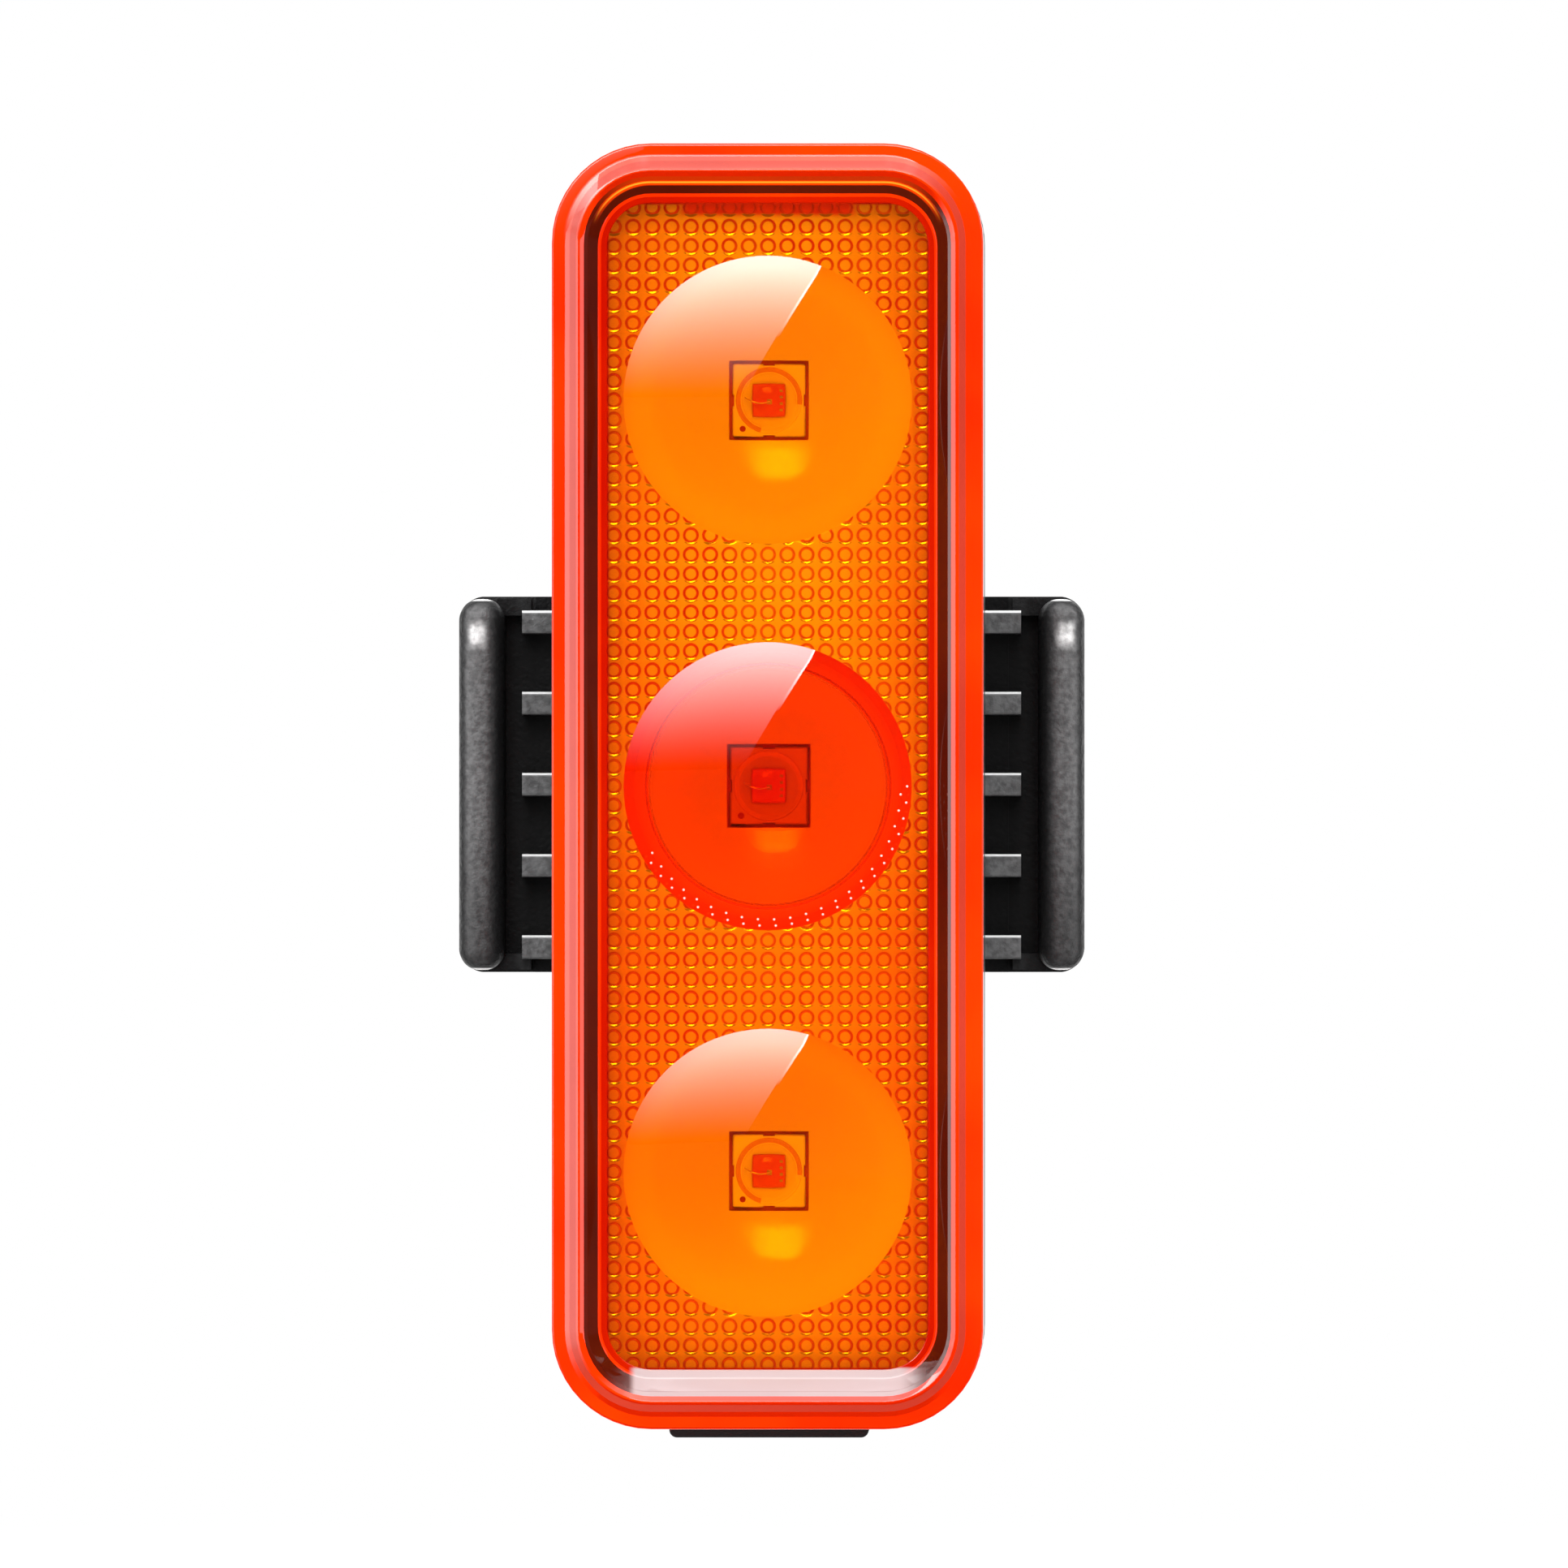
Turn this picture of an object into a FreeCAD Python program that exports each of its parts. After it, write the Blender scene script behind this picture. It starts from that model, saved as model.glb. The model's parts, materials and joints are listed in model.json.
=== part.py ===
import FreeCAD, Part
import math
import os
import re
import Sketcher

# A rechargeable bicycle tail light on a seatpost bracket.
# X runs to the right of the lamp, Y runs away from the rider behind, Z runs up.
# The origin is on the seatpost's axis at the lamp's mid height. The lens looks along -Y.
# A depth in this file is a distance from the seatpost's axis towards the lens, so y = -depth.

SIZES = {
    # How far a cutting tool runs past a face, how deep joined pieces reach into each other,
    # and how much of a slab's thickness a nearly full round end takes
    "past": 1.0,
    "weld": 0.5,
    "end_share": 0.49,
    # Seatpost clamp
    "post_radius": 13.6,
    "pad_thickness": 1.5,
    "pad_sweep": 104,
    "pad_height": 20,
    "pad_groove_width": 1.0,
    "pad_groove_depth": 0.5,
    "saddle_wall": 3.0,
    "saddle_height": 22.0,
    "arm_wall": 1.5,
    "arm_reach": 57,
    # Bracket wings, ribs and bars
    "bracket_width": 36.6,
    "bar_width": 2.7,
    "bar_height": 21.7,
    "bar_proud": 0.6,
    "bar_round": 1.2,
    "throat_width": 1.0,
    "throat_bridge": 0.95,
    "throat_bridge_rise": 1.8,
    "rib_pitch": 4.75,
    "rib_thickness": 1.4,
    "rib_setback": 0.2,
    "rib_round": 0.25,
    "wing_floor_drop": 3.0,
    "wing_thickness": 7.5,
    "channel_inner_wall": 1.2,
    "channel_round": 0.7,
    "channel_drop": 0.3,
    # Rubber strap and its bead channels
    "strap_thickness": 1.7,
    "strap_height": 20.0,
    "strap_gap": 0.15,
    "bead_radius": 1.4,
    "bead_gap": 0.05,
    "bead_wall": 0.85,
    "bead_front_wall": 1.0,
    "bead_lip": 0.85,
    # Slide rail between bracket and lamp
    "rail_half_width": 9.0,
    "head_half_width": 6.0,
    "neck_half_width": 4.2,
    "head_thickness": 1.7,
    "lip_thickness": 1.6,
    "slide_gap": 0.3,
    "side_gap": 0.25,
    "foot_height": 20.0,
    "stop_gap": 0.1,
    # Mounting plate on the lamp's back
    "plate_width": 14.0,
    "plate_height": 60.0,
    "plate_corner": 3.0,
    "plate_thickness": 1.6,
    "plate_proud": 0.7,
    "plate_screw_inset": 3.5,
    "plate_screw_radius": 0.95,
    "plate_screw_length": 6.2,
    "plate_head_radius": 1.9,
    "plate_head_height": 0.9,
    "plate_boss_wall": 0.95,
    "plate_boss_end": 0.6,
    "plate_edge_round": 0.35,
    "foot_corner": 0.8,
    # Lamp outline
    "lamp_width": 25.0,
    "lamp_height": 74.5,
    "lamp_corner": 5.75,
    "wall": 1.6,
    "housing_depth": 12.0,
    "housing_back_wall": 2.2,
    "housing_back_round": 1.5,
    "cover_depth": 8.0,
    "parting_chamfer": 0.15,
    # Lens cover
    "rim_round": 0.75,
    "crest_inset": 1.6,
    "window_inset_side": 3.25,
    "window_inset_end": 3.5,
    "window_recess": 1.3,
    "window_thickness": 1.6,
    "dome_radius": 8.35,
    "dome_rise": 1.5,
    "optic_pitch": 22.4,
    # Bezel frame and reflector
    "bezel_inset_side": 2.65,
    "bezel_inset_end": 2.9,
    "bezel_depth": 2.1,
    "bezel_ledge": 0.6,
    "ledge_overlap": 0.3,
    "fit_gap": 0.15,
    "plate_gap": 0.1,
    "reflector_plate": 1.0,
    "reflector_depth": 4.9,
    "reflector_floor": 0.6,
    "reflector_wall": 0.8,
    "bowl_radius": 8.25,
    "middle_bowl_radius": 7.3,
    "middle_flange_radius": 8.1,
    "middle_lens_radius": 7.05,
    "middle_lens_bulge": 1.5,
    # Light sources
    "led_side": 3.5,
    "led_thickness": 0.7,
    "led_window_gap": 0.2,
    "die_side": 1.2,
    "die_thickness": 0.15,
    "led_dome_radius": 1.35,
    # Circuit board
    "board_thickness": 1.0,
    "board_gap": 0.3,
    "board_end_gap": 5.75,
    "board_tongue_half_width": 6.0,
    "board_top_gap": 3.45,
    "board_bottom_gap": 3.25,
    "board_corner": 2.0,
    "controller_side": 4.0,
    "controller_thickness": 0.9,
    "charger_side": 3.0,
    "charger_thickness": 0.8,
    "inductor_side": 4.0,
    "inductor_thickness": 1.6,
    "capacitor_length": 1.6,
    "capacitor_width": 0.8,
    "part_column": 4.4,
    "part_row": 12.0,
    "part_low_row": 19.5,
    "part_step": 2.6,
    # Housing screws
    "screw_inset": 2.6,
    "screw_radius": 0.8,
    "screw_length": 5.7,
    "screw_end_gap": 0.2,
    "screw_head_radius": 1.4,
    "screw_head_height": 1.0,
    "screw_gap": 0.1,
    "screw_head_gap": 0.05,
    "screw_seat_depth": 3.5,
    "screw_grip": 1.0,
    "recess_arm_share": 0.55,
    "recess_width": 0.45,
    "recess_depth": 0.5,
    "post_outer_radius": 1.4,
    "post_height": 2.9,
    "post_gusset_start": 0.9,
    "post_gusset_width": 1.2,
    "column_wall": 0.7,
    # Gasket
    "gasket_width": 0.9,
    "gasket_thickness": 0.7,
    # Board rests in the housing
    "rest_width": 1.5,
    "rest_inset": 1.2,
    "rest_pitch": 14.0,
    # Battery
    "cell_width": 17.5,
    "cell_thickness": 4.2,
    "cell_boss_gap": 0.6,
    "cell_corner": 1.6,
    "foam_thickness": 0.4,
    "foam_width": 14.0,
    "foam_margin": 4.0,
    "guard_width": 14.0,
    "guard_height": 2.0,
    "guard_thickness": 2.6,
    "lead_radius": 0.45,
    "lead_spacing": 1.6,
    "lead_offset": 3.4,
    "lead_rise": 6.2,
    "lead_bend_share": 0.45,
    # Power button and its switch
    "button_length": 9.0,
    "button_width": 4.2,
    "button_recess": 0.1,
    "button_gap": 0.15,
    "button_flange": 0.7,
    "button_round": 0.3,
    "button_flange_thickness": 0.65,
    "button_rest_gap": 0.05,
    "button_setback": 4.0,
    "seal_thickness": 0.65,
    "seal_margin": 1.1,
    "switch_width": 6.0,
    "switch_height": 2.6,
    "switch_depth": 2.4,
    "plunger_width": 2.4,
    "plunger_depth": 1.2,
    "plunger_offset": 0.5,
    "plunger_gap": 0.1,
    "plunger_engaged": 0.9,
    "plunger_well": 1.6,
    # Charging socket
    "socket_width": 8.94,
    "socket_thickness": 3.2,
    "socket_wall": 0.3,
    "socket_length": 7.3,
    "socket_mouth_inset": 0.95,
    "socket_gap": 0.23,
    "socket_tongue_width": 6.7,
    "socket_tongue_thickness": 0.7,
    "socket_tongue_inset": 1.6,
    "socket_back": 1.8,
    # Port cover
    "flap_width": 11.6,
    "flap_length": 7.2,
    "flap_proud": 0.66,
    "flap_recess": 0.7,
    "flap_gap": 0.2,
    "flap_seat_gap": 0.05,
    "flap_round": 0.45,
    "flap_notch": 0.5,
    "hinge_gap": 0.05,
    "stopper_width": 7.7,
    "stopper_thickness": 1.8,
    "stopper_height": 1.0,
    "stopper_round": 0.4,
    "anchor_length": 2.1,
    "anchor_stem_radius": 0.8,
    "anchor_head_radius": 1.05,
    "anchor_head_height": 0.6,
    "anchor_gap": 0.05,
}

# Places and sizes that follow from the ones above
DERIVED = {
    "bore_radius": "post_radius + pad_thickness",
    "floor_depth": "bore_radius + saddle_wall",
    "head_back": "floor_depth + slide_gap",
    "head_front": "head_back + head_thickness",
    "lip_back": "head_front + slide_gap",
    "lip_front": "lip_back + lip_thickness",
    "plate_back": "lip_front + slide_gap",
    "lamp_back": "plate_back + plate_proud",
    "plate_seat": "plate_back + plate_thickness",
    "parting": "lamp_back + housing_depth",
    "lamp_front": "parting + cover_depth",
    "half_width": "lamp_width / 2",
    "half_height": "lamp_height / 2",
    "inner_half_width": "half_width - wall",
    "inner_half_height": "half_height - wall",
    "inner_corner": "lamp_corner - wall",
    "housing_floor": "lamp_back + housing_back_wall",
    "window_front": "lamp_front - window_recess",
    "window_back": "window_front - window_thickness",
    "dome_ball": "(dome_radius * dome_radius + dome_rise * dome_rise) / (2 * dome_rise)",
    "reflector_front": "window_back - bezel_ledge",
    "reflector_plate_back": "reflector_front - reflector_plate",
    "board_front": "reflector_front - reflector_depth",
    "board_back": "board_front - board_thickness",
    "bowl_floor": "board_front + reflector_floor",
    "bowl_depth": "reflector_front - bowl_floor",
    "bowl_ball": "(bowl_radius * bowl_radius + bowl_depth * bowl_depth) / (2 * bowl_depth)",
    "middle_bowl_depth": "reflector_plate_back - bowl_floor",
    "middle_bowl_ball": "(middle_bowl_radius * middle_bowl_radius"
                        " + middle_bowl_depth * middle_bowl_depth) / (2 * middle_bowl_depth)",
    "lens_ball": "(middle_lens_radius * middle_lens_radius"
                 " + middle_lens_bulge * middle_lens_bulge) / (2 * middle_lens_bulge)",
    "led_front": "board_front + led_thickness",
    "screw_x": "half_width - lamp_corner + screw_inset * cos(45)",
    "screw_z": "half_height - lamp_corner + screw_inset * sin(45)",
    "screw_seat": "parting - screw_seat_depth",
    "plate_screw_height": "plate_height / 2 - plate_screw_inset",
    "board_half_height": "half_height - board_end_gap",
    "board_top": "half_height - board_top_gap",
    "board_bottom": "half_height - board_bottom_gap",
    "boss_edge": "plate_screw_height - plate_screw_radius - plate_boss_wall",
    "cell_bottom": "boss_edge - cell_boss_gap",
    "cell_top": "boss_edge - cell_boss_gap - guard_height",
    "wing_floor": "lip_front - wing_floor_drop",
    "rib_front": "lip_front - rib_setback",
    "bar_front": "rib_front + bar_proud",
    "bar_inner": "bracket_width / 2 - bar_width",
    "rib_end": "bar_inner - throat_width",
    "bead_hole": "bead_radius + bead_gap",
    "bead_x": "bracket_width / 2 - bead_wall - bead_hole",
    "channel_front": "bead_depth + bead_hole + bead_front_wall",
    "bead_depth": "wing_floor - bead_front_wall - bead_hole - channel_drop",
    "channel_back": "bead_depth - bead_hole - bead_lip",
    "strap_mid": "post_radius + strap_thickness / 2",
    "bead_reach": "sqrt(bead_x * bead_x + bead_depth * bead_depth)",
    "web_length": "sqrt(bead_reach * bead_reach - strap_mid * strap_mid)",
    "cell_back": "housing_floor + foam_thickness",
    "cell_front": "cell_back + cell_thickness",
    "button_centre": "parting - button_setback",
    "flange_top": "inner_half_height - button_rest_gap",
    "flange_bottom": "flange_top - button_flange_thickness",
    "button_top": "half_height - button_recess",
    "switch_top": "board_top",
    "plunger_centre": "board_back - plunger_gap - plunger_depth / 2 - plunger_offset",
    "socket_centre": "board_back - socket_thickness / 2",
    "socket_mouth": "half_height - socket_mouth_inset",
    "flap_front": "parting - flap_gap",
    "hinge_depth": "flap_front - flap_length",
    "flap_outside": "half_height + flap_proud",
    "flap_inside": "half_height - flap_recess + flap_seat_gap",
    "anchor_back": "hinge_depth - anchor_length",
    "anchor_centre": "(hinge_depth + anchor_back) / 2",
    "recess_back": "anchor_back - flap_gap",
}

doc = FreeCAD.newDocument("tail_light")
sheet = doc.addObject("Spreadsheet::Sheet", "sizes")
for row, (alias, value) in enumerate(SIZES.items(), start=1):
    sheet.set(f"A{row}", alias)
    sheet.set(f"B{row}", str(value))
    sheet.setAlias(f"B{row}", alias)
doc.recompute()

nodes = {}


def ex(text):
    """Write a formula of named sizes as an expression that reads the sheet."""
    def swap(match):
        word = match.group(0)
        if word in DERIVED:
            return "(" + ex(DERIVED[word]) + ")"
        if word in SIZES:
            return "sizes." + word
        return word
    return re.sub(r"[a-z][a-z_0-9]*", swap, str(text))


def num(text):
    """The present value of a formula of named sizes."""
    value = sheet.evalExpression(ex(text))
    return float(getattr(value, "Value", value))


def drive(thing, **settings):
    """Bind properties of an object to formulas; a double underscore stands for a point."""
    for key, formula in settings.items():
        thing.setExpression(key.replace("__", "."), ex(formula))
    return thing


def keep(name, thing):
    """Name a finished piece."""
    thing.Label = name
    nodes[name] = thing
    return thing


def place(thing, x="0", depth="0", z="0"):
    """Bind an object's base point. Depth counts towards the lens."""
    thing.setExpression("Placement.Base.x", ex(x))
    thing.setExpression("Placement.Base.y", "-(" + ex(depth) + ")")
    thing.setExpression("Placement.Base.z", ex(z))
    return thing


def block(name, left, right, back, front, low, high):
    """A box between two x values, two depths and two heights."""
    thing = doc.addObject("Part::Box", name)
    drive(thing, Length=f"({right}) - ({left})", Width=f"({front}) - ({back})", Height=f"({high}) - ({low})")
    return place(thing, left, front, low)


def peg(name, radius, back, front, x="0", z="0"):
    """A cylinder that runs from one depth forward to another."""
    thing = doc.addObject("Part::Cylinder", name)
    thing.Placement.Rotation = FreeCAD.Rotation(FreeCAD.Vector(1, 0, 0), 90)
    drive(thing, Radius=radius, Height=f"({front}) - ({back})")
    return place(thing, x, back, z)


def upright(name, radius, low, high, x="0", depth="0"):
    """A cylinder that runs up from one height to another."""
    thing = doc.addObject("Part::Cylinder", name)
    drive(thing, Radius=radius, Height=f"({high}) - ({low})")
    return place(thing, x, depth, low)


def ball(name, radius, depth, z="0"):
    """A sphere on the lamp's middle line."""
    thing = doc.addObject("Part::Sphere", name)
    drive(thing, Radius=radius)
    return place(thing, "0", depth, z)


def countersink(name, small, large, back, front, x="0", z="0"):
    """A cone that widens towards the seatpost."""
    thing = doc.addObject("Part::Cone", name)
    thing.Placement.Rotation = FreeCAD.Rotation(FreeCAD.Vector(1, 0, 0), 90)
    drive(thing, Radius1=large, Radius2=small, Height=f"({front}) - ({back})")
    return place(thing, x, back, z)


def join(name, *parts):
    thing = doc.addObject("Part::MultiFuse", name)
    thing.Shapes = list(parts)
    thing.Refine = True
    return thing


def overlap(name, first, second):
    thing = doc.addObject("Part::Common", name)
    thing.Base = first
    thing.Tool = second
    return thing


def cut(name, base, *tools):
    thing = doc.addObject("Part::Cut", name)
    thing.Base = base
    thing.Tool = tools[0] if len(tools) == 1 else join(name + "_tools", *tools)
    thing.Refine = True
    return thing


def group(name, parts):
    thing = doc.addObject("Part::Compound", name)
    thing.Links = parts
    return keep(name, thing)


def new_sketch(body, name, plane, offset="0"):
    sketch = body.newObject("Sketcher::SketchObject", name)
    face = next(f for f in body.Origin.OriginFeatures if f.Role == plane)
    sketch.AttachmentSupport = [(face, "")]
    sketch.MapMode = "FlatFace"
    sketch.setExpression("AttachmentOffset.Base.z", ex(offset))
    return sketch


def draw_outline(sketch, corners):
    """Closed straight outline; each corner's two places are bound to formulas."""
    points = [FreeCAD.Vector(num(a), num(b), 0) for a, b in corners]
    count = len(points)
    for i in range(count):
        sketch.addGeometry(Part.LineSegment(points[i], points[(i + 1) % count]), False)
    for i in range(count):
        sketch.addConstraint(Sketcher.Constraint("Coincident", i, 2, (i + 1) % count, 1))
    for i, (across, along) in enumerate(corners):
        for kind, formula, value in (("DistanceX", across, points[i].x), ("DistanceY", along, points[i].y)):
            label = f"{'across' if kind == 'DistanceX' else 'along'}{i}"
            at = sketch.addConstraint(Sketcher.Constraint(kind, -1, 1, i, 1, value))
            sketch.renameConstraint(at, label)
            sketch.setExpression("Constraints." + label, ex(formula))


def draw_rounded(sketch, width, height, corner, across="0", along="0"):
    """Rectangle with four equal round corners, centred on a point."""
    a, b, r = num(width) / 2, num(height) / 2, num(corner)
    cx, cy = num(across), num(along)
    v = FreeCAD.Vector
    low, high = v(cx - a, cy - b, 0), v(cx + a, cy + b, 0)
    sides = [
        (v(low.x + r, low.y, 0), v(high.x - r, low.y, 0)),
        (v(high.x, low.y + r, 0), v(high.x, high.y - r, 0)),
        (v(high.x - r, high.y, 0), v(low.x + r, high.y, 0)),
        (v(low.x, high.y - r, 0), v(low.x, low.y + r, 0)),
    ]
    for start, end in sides:
        sketch.addGeometry(Part.LineSegment(start, end), False)
    centres = [v(high.x - r, low.y + r, 0), v(high.x - r, high.y - r, 0),
               v(low.x + r, high.y - r, 0), v(low.x + r, low.y + r, 0)]
    for i, centre in enumerate(centres):
        start = math.radians(-90 + 90 * i)
        circle = Part.Circle(centre, v(0, 0, 1), r)
        sketch.addGeometry(Part.ArcOfCircle(circle, start, start + math.pi / 2), False)
    for i in range(4):
        sketch.addConstraint(Sketcher.Constraint("Tangent", i, 2, 4 + i, 1))
        sketch.addConstraint(Sketcher.Constraint("Tangent", 4 + i, 2, (i + 1) % 4, 1))
    for i in (5, 6, 7):
        sketch.addConstraint(Sketcher.Constraint("Equal", 4, i))
    sketch.addConstraint(Sketcher.Constraint("Horizontal", 0))
    sketch.addConstraint(Sketcher.Constraint("Vertical", 1))
    named = [
        ("corner", Sketcher.Constraint("Radius", 4, r), corner),
        ("bottom", Sketcher.Constraint("DistanceY", -1, 1, 0, 1, low.y), f"({along}) - ({height}) / 2"),
        ("top", Sketcher.Constraint("DistanceY", -1, 1, 2, 1, high.y), f"({along}) + ({height}) / 2"),
        ("left", Sketcher.Constraint("DistanceX", -1, 1, 3, 1, low.x), f"({across}) - ({width}) / 2"),
        ("right", Sketcher.Constraint("DistanceX", -1, 1, 1, 1, high.x), f"({across}) + ({width}) / 2"),
    ]
    for label, constraint, formula in named:
        at = sketch.addConstraint(constraint)
        sketch.renameConstraint(at, label)
        sketch.setExpression("Constraints." + label, ex(formula))


def rounded_slab(name, width, height, corner, back, front):
    """Upright slab with round corners between two depths, as a body."""
    body = doc.addObject("PartDesign::Body", name)
    outline = new_sketch(body, name + "_outline", "XZ_Plane", back)
    draw_rounded(outline, width, height, corner)
    pad = body.newObject("PartDesign::Pad", name + "_pad")
    pad.Profile = outline
    drive(pad, Length=f"({front}) - ({back})")
    body.Tip = pad
    doc.recompute()
    return body


def flat_slab(name, width, length, corner, depth, low, high):
    """Level slab with round corners between two heights, as a body."""
    body = doc.addObject("PartDesign::Body", name)
    outline = new_sketch(body, name + "_outline", "XY_Plane", low)
    draw_rounded(outline, width, length, corner, "0", f"-({depth})")
    pad = body.newObject("PartDesign::Pad", name + "_pad")
    pad.Profile = outline
    drive(pad, Length=f"({high}) - ({low})")
    body.Tip = pad
    doc.recompute()
    return body


def edge_names(shape, test):
    """Names of the edges whose middle point and bounds pass a test."""
    found = []
    for i, edge in enumerate(shape.Edges, start=1):
        if test(edge, edge.BoundBox):
            found.append(f"Edge{i}")
    return found


def level_edges(shape, y):
    """Edges that lie wholly at one y."""
    return edge_names(shape, lambda e, b: abs(b.YMin - y) < 1e-4 and abs(b.YMax - y) < 1e-4)


def round_edges(body, feature, names, formula):
    """Fillet on named edges of a body's feature."""
    fillet = body.newObject("PartDesign::Fillet", feature.Name + "_round")
    fillet.Base = (feature, names)
    drive(fillet, Radius=formula)
    body.Tip = fillet
    doc.recompute()
    return fillet


def bevel_edges(body, feature, names, formula):
    """Chamfer on named edges of a body's feature."""
    chamfer = body.newObject("PartDesign::Chamfer", feature.Name + "_bevel")
    chamfer.Base = (feature, names)
    drive(chamfer, Size=formula)
    body.Tip = chamfer
    doc.recompute()
    return chamfer


def soften(name, thing, names, radius):
    """Fillet on named edges of a plain solid."""
    fillet = doc.addObject("Part::Fillet", name)
    fillet.Base = thing
    fillet.Edges = [(int(n[4:]), radius, radius) for n in names]
    doc.recompute()
    return fillet


# Lens cover

def make_lens_cover():
    """Clear red moulding: skirt, rounded rim, sunk window with three shallow domes, four screw posts."""
    body = doc.addObject("PartDesign::Body", "cover_shell")
    outline = new_sketch(body, "cover_outline", "XZ_Plane", "parting")
    draw_rounded(outline, "lamp_width", "lamp_height", "lamp_corner")
    pad = body.newObject("PartDesign::Pad", "cover_pad")
    pad.Profile = outline
    drive(pad, Length="cover_depth")
    doc.recompute()
    rim = round_edges(body, pad, level_edges(pad.Shape, -num("lamp_front")), "rim_round")
    bevel_edges(body, rim, level_edges(rim.Shape, -num("parting")), "parting_chamfer")

    hollow = new_sketch(body, "cover_hollow", "XZ_Plane", "parting")
    draw_rounded(hollow, "2 * inner_half_width", "2 * inner_half_height", "inner_corner")
    pocket = body.newObject("PartDesign::Pocket", "cover_pocket")
    pocket.Profile = hollow
    pocket.Reversed = True
    drive(pocket, Length="window_back - parting")
    body.Tip = pocket
    doc.recompute()

    crest = new_sketch(body, "crest_outline", "XZ_Plane", "lamp_front")
    draw_rounded(crest, "lamp_width - 2 * crest_inset", "lamp_height - 2 * crest_inset",
                 "lamp_corner - crest_inset")
    window = new_sketch(body, "window_outline", "XZ_Plane", "window_front")
    draw_rounded(window, "lamp_width - 2 * window_inset_side", "lamp_height - 2 * window_inset_end",
                 "lamp_corner - window_inset_side")
    recess = body.newObject("PartDesign::SubtractiveLoft", "window_recess")
    recess.Profile = crest
    recess.Sections = [window]
    recess.Ruled = True
    body.Tip = recess
    doc.recompute()

    additions = [body]
    for spot, z in OPTICS:
        round_front = ball(f"dome_ball_{spot}", "dome_ball", "window_front + dome_rise - dome_ball", z)
        limit = peg(f"dome_limit_{spot}", "dome_radius", "window_back + window_thickness / 2",
                    "window_front + dome_rise + past", "0", z)
        additions.append(overlap(f"dome_{spot}", round_front, limit))
    holes = []
    for corner, x, z, turn in CORNERS:
        additions.append(peg(f"cover_post_{corner}", "post_outer_radius", "parting",
                             "parting + post_height", x, z))
        gusset = doc.addObject("Part::Box", f"cover_gusset_{corner}")
        gusset.Placement.Rotation = FreeCAD.Rotation(FreeCAD.Vector(0, 1, 0), turn)
        drive(gusset, Length="inner_corner + wall / 2 - screw_inset", Width="post_height - post_gusset_start",
              Height="post_gusset_width")
        lean = FreeCAD.Rotation(FreeCAD.Vector(0, 1, 0), turn).multVec(FreeCAD.Vector(0, 0, 1))
        place(gusset, f"{x} - ({lean.x:.9f}) * post_gusset_width / 2", "parting + post_height",
              f"{z} - ({lean.z:.9f}) * post_gusset_width / 2")
        additions.append(gusset)
        holes.append(peg(f"cover_pilot_{corner}", "screw_radius", "parting - past",
                         "screw_seat + screw_length + screw_end_gap", x, z))
    keep("lens_cover", cut("lens_cover", join("cover_whole", *additions), *holes))


def make_bezel():
    """Black frame behind the window's edge; its ledge holds the reflector back."""
    outer = rounded_slab("bezel_outer", "2 * (inner_half_width - fit_gap)",
                         "2 * (inner_half_height - fit_gap)",
                         "inner_corner - fit_gap", "window_back - bezel_depth", "window_back")
    opening = rounded_slab("bezel_opening", "lamp_width - 2 * bezel_inset_side",
                           "lamp_height - 2 * bezel_inset_end", "lamp_corner - bezel_inset_side",
                           "window_back - bezel_depth - past", "window_back + past")
    rebate = rounded_slab("bezel_rebate",
                          "lamp_width - 2 * bezel_inset_side + 2 * (ledge_overlap + plate_gap)",
                          "lamp_height - 2 * bezel_inset_end + 2 * (ledge_overlap + plate_gap)",
                          "lamp_corner - bezel_inset_side + ledge_overlap + plate_gap",
                          "window_back - bezel_depth - past", "reflector_front")
    keep("bezel_frame", cut("bezel_frame", outer, opening, rebate))


def make_reflector():
    """Bright plate with three round bowls that stand on the circuit board."""
    plate = rounded_slab("reflector_slab", "lamp_width - 2 * bezel_inset_side + 2 * ledge_overlap",
                         "lamp_height - 2 * bezel_inset_end + 2 * ledge_overlap",
                         "lamp_corner - bezel_inset_side + ledge_overlap",
                         "reflector_plate_back", "reflector_front")
    cups, hollows = [], []
    for spot, z in OPTICS:
        middle = spot == "middle"
        size = "middle_bowl_ball" if middle else "bowl_ball"
        outer = ball(f"cup_ball_{spot}", f"{size} + reflector_wall", f"bowl_floor + {size}", z)
        slice_ = peg(f"cup_slice_{spot}", "bowl_radius + reflector_wall", "board_front",
                     "reflector_plate_back + reflector_plate / 2", "0", z)
        cups.append(overlap(f"cup_{spot}", outer, slice_))
        hollows.append(ball(f"bowl_{spot}", size, f"bowl_floor + {size}", z))
        hollows.append(block(f"led_window_{spot}", "-(led_side / 2 + led_window_gap)",
                             "led_side / 2 + led_window_gap", "board_front - past", "bowl_floor + past",
                             f"{z} - (led_side / 2 + led_window_gap)",
                             f"{z} + led_side / 2 + led_window_gap"))
    hollows.append(peg("lens_seat", "middle_flange_radius + plate_gap", "reflector_plate_back",
                       "reflector_front + past"))
    keep("reflector", cut("reflector", join("reflector_whole", plate, *cups), *hollows))


def make_middle_lens():
    """Deep red inner lens of the middle light: flat front, flange, bulging back."""
    flange = peg("lens_flange", "middle_flange_radius", "reflector_plate_back", "reflector_front")
    bulge = ball("lens_ball", "lens_ball", "reflector_plate_back - middle_lens_bulge + lens_ball")
    limit = peg("lens_limit", "middle_lens_radius", "reflector_plate_back - middle_lens_bulge - past",
                "reflector_plate_back + reflector_plate / 2")
    keep("middle_lens", join("middle_lens", flange, overlap("lens_bulge", bulge, limit)))


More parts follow.
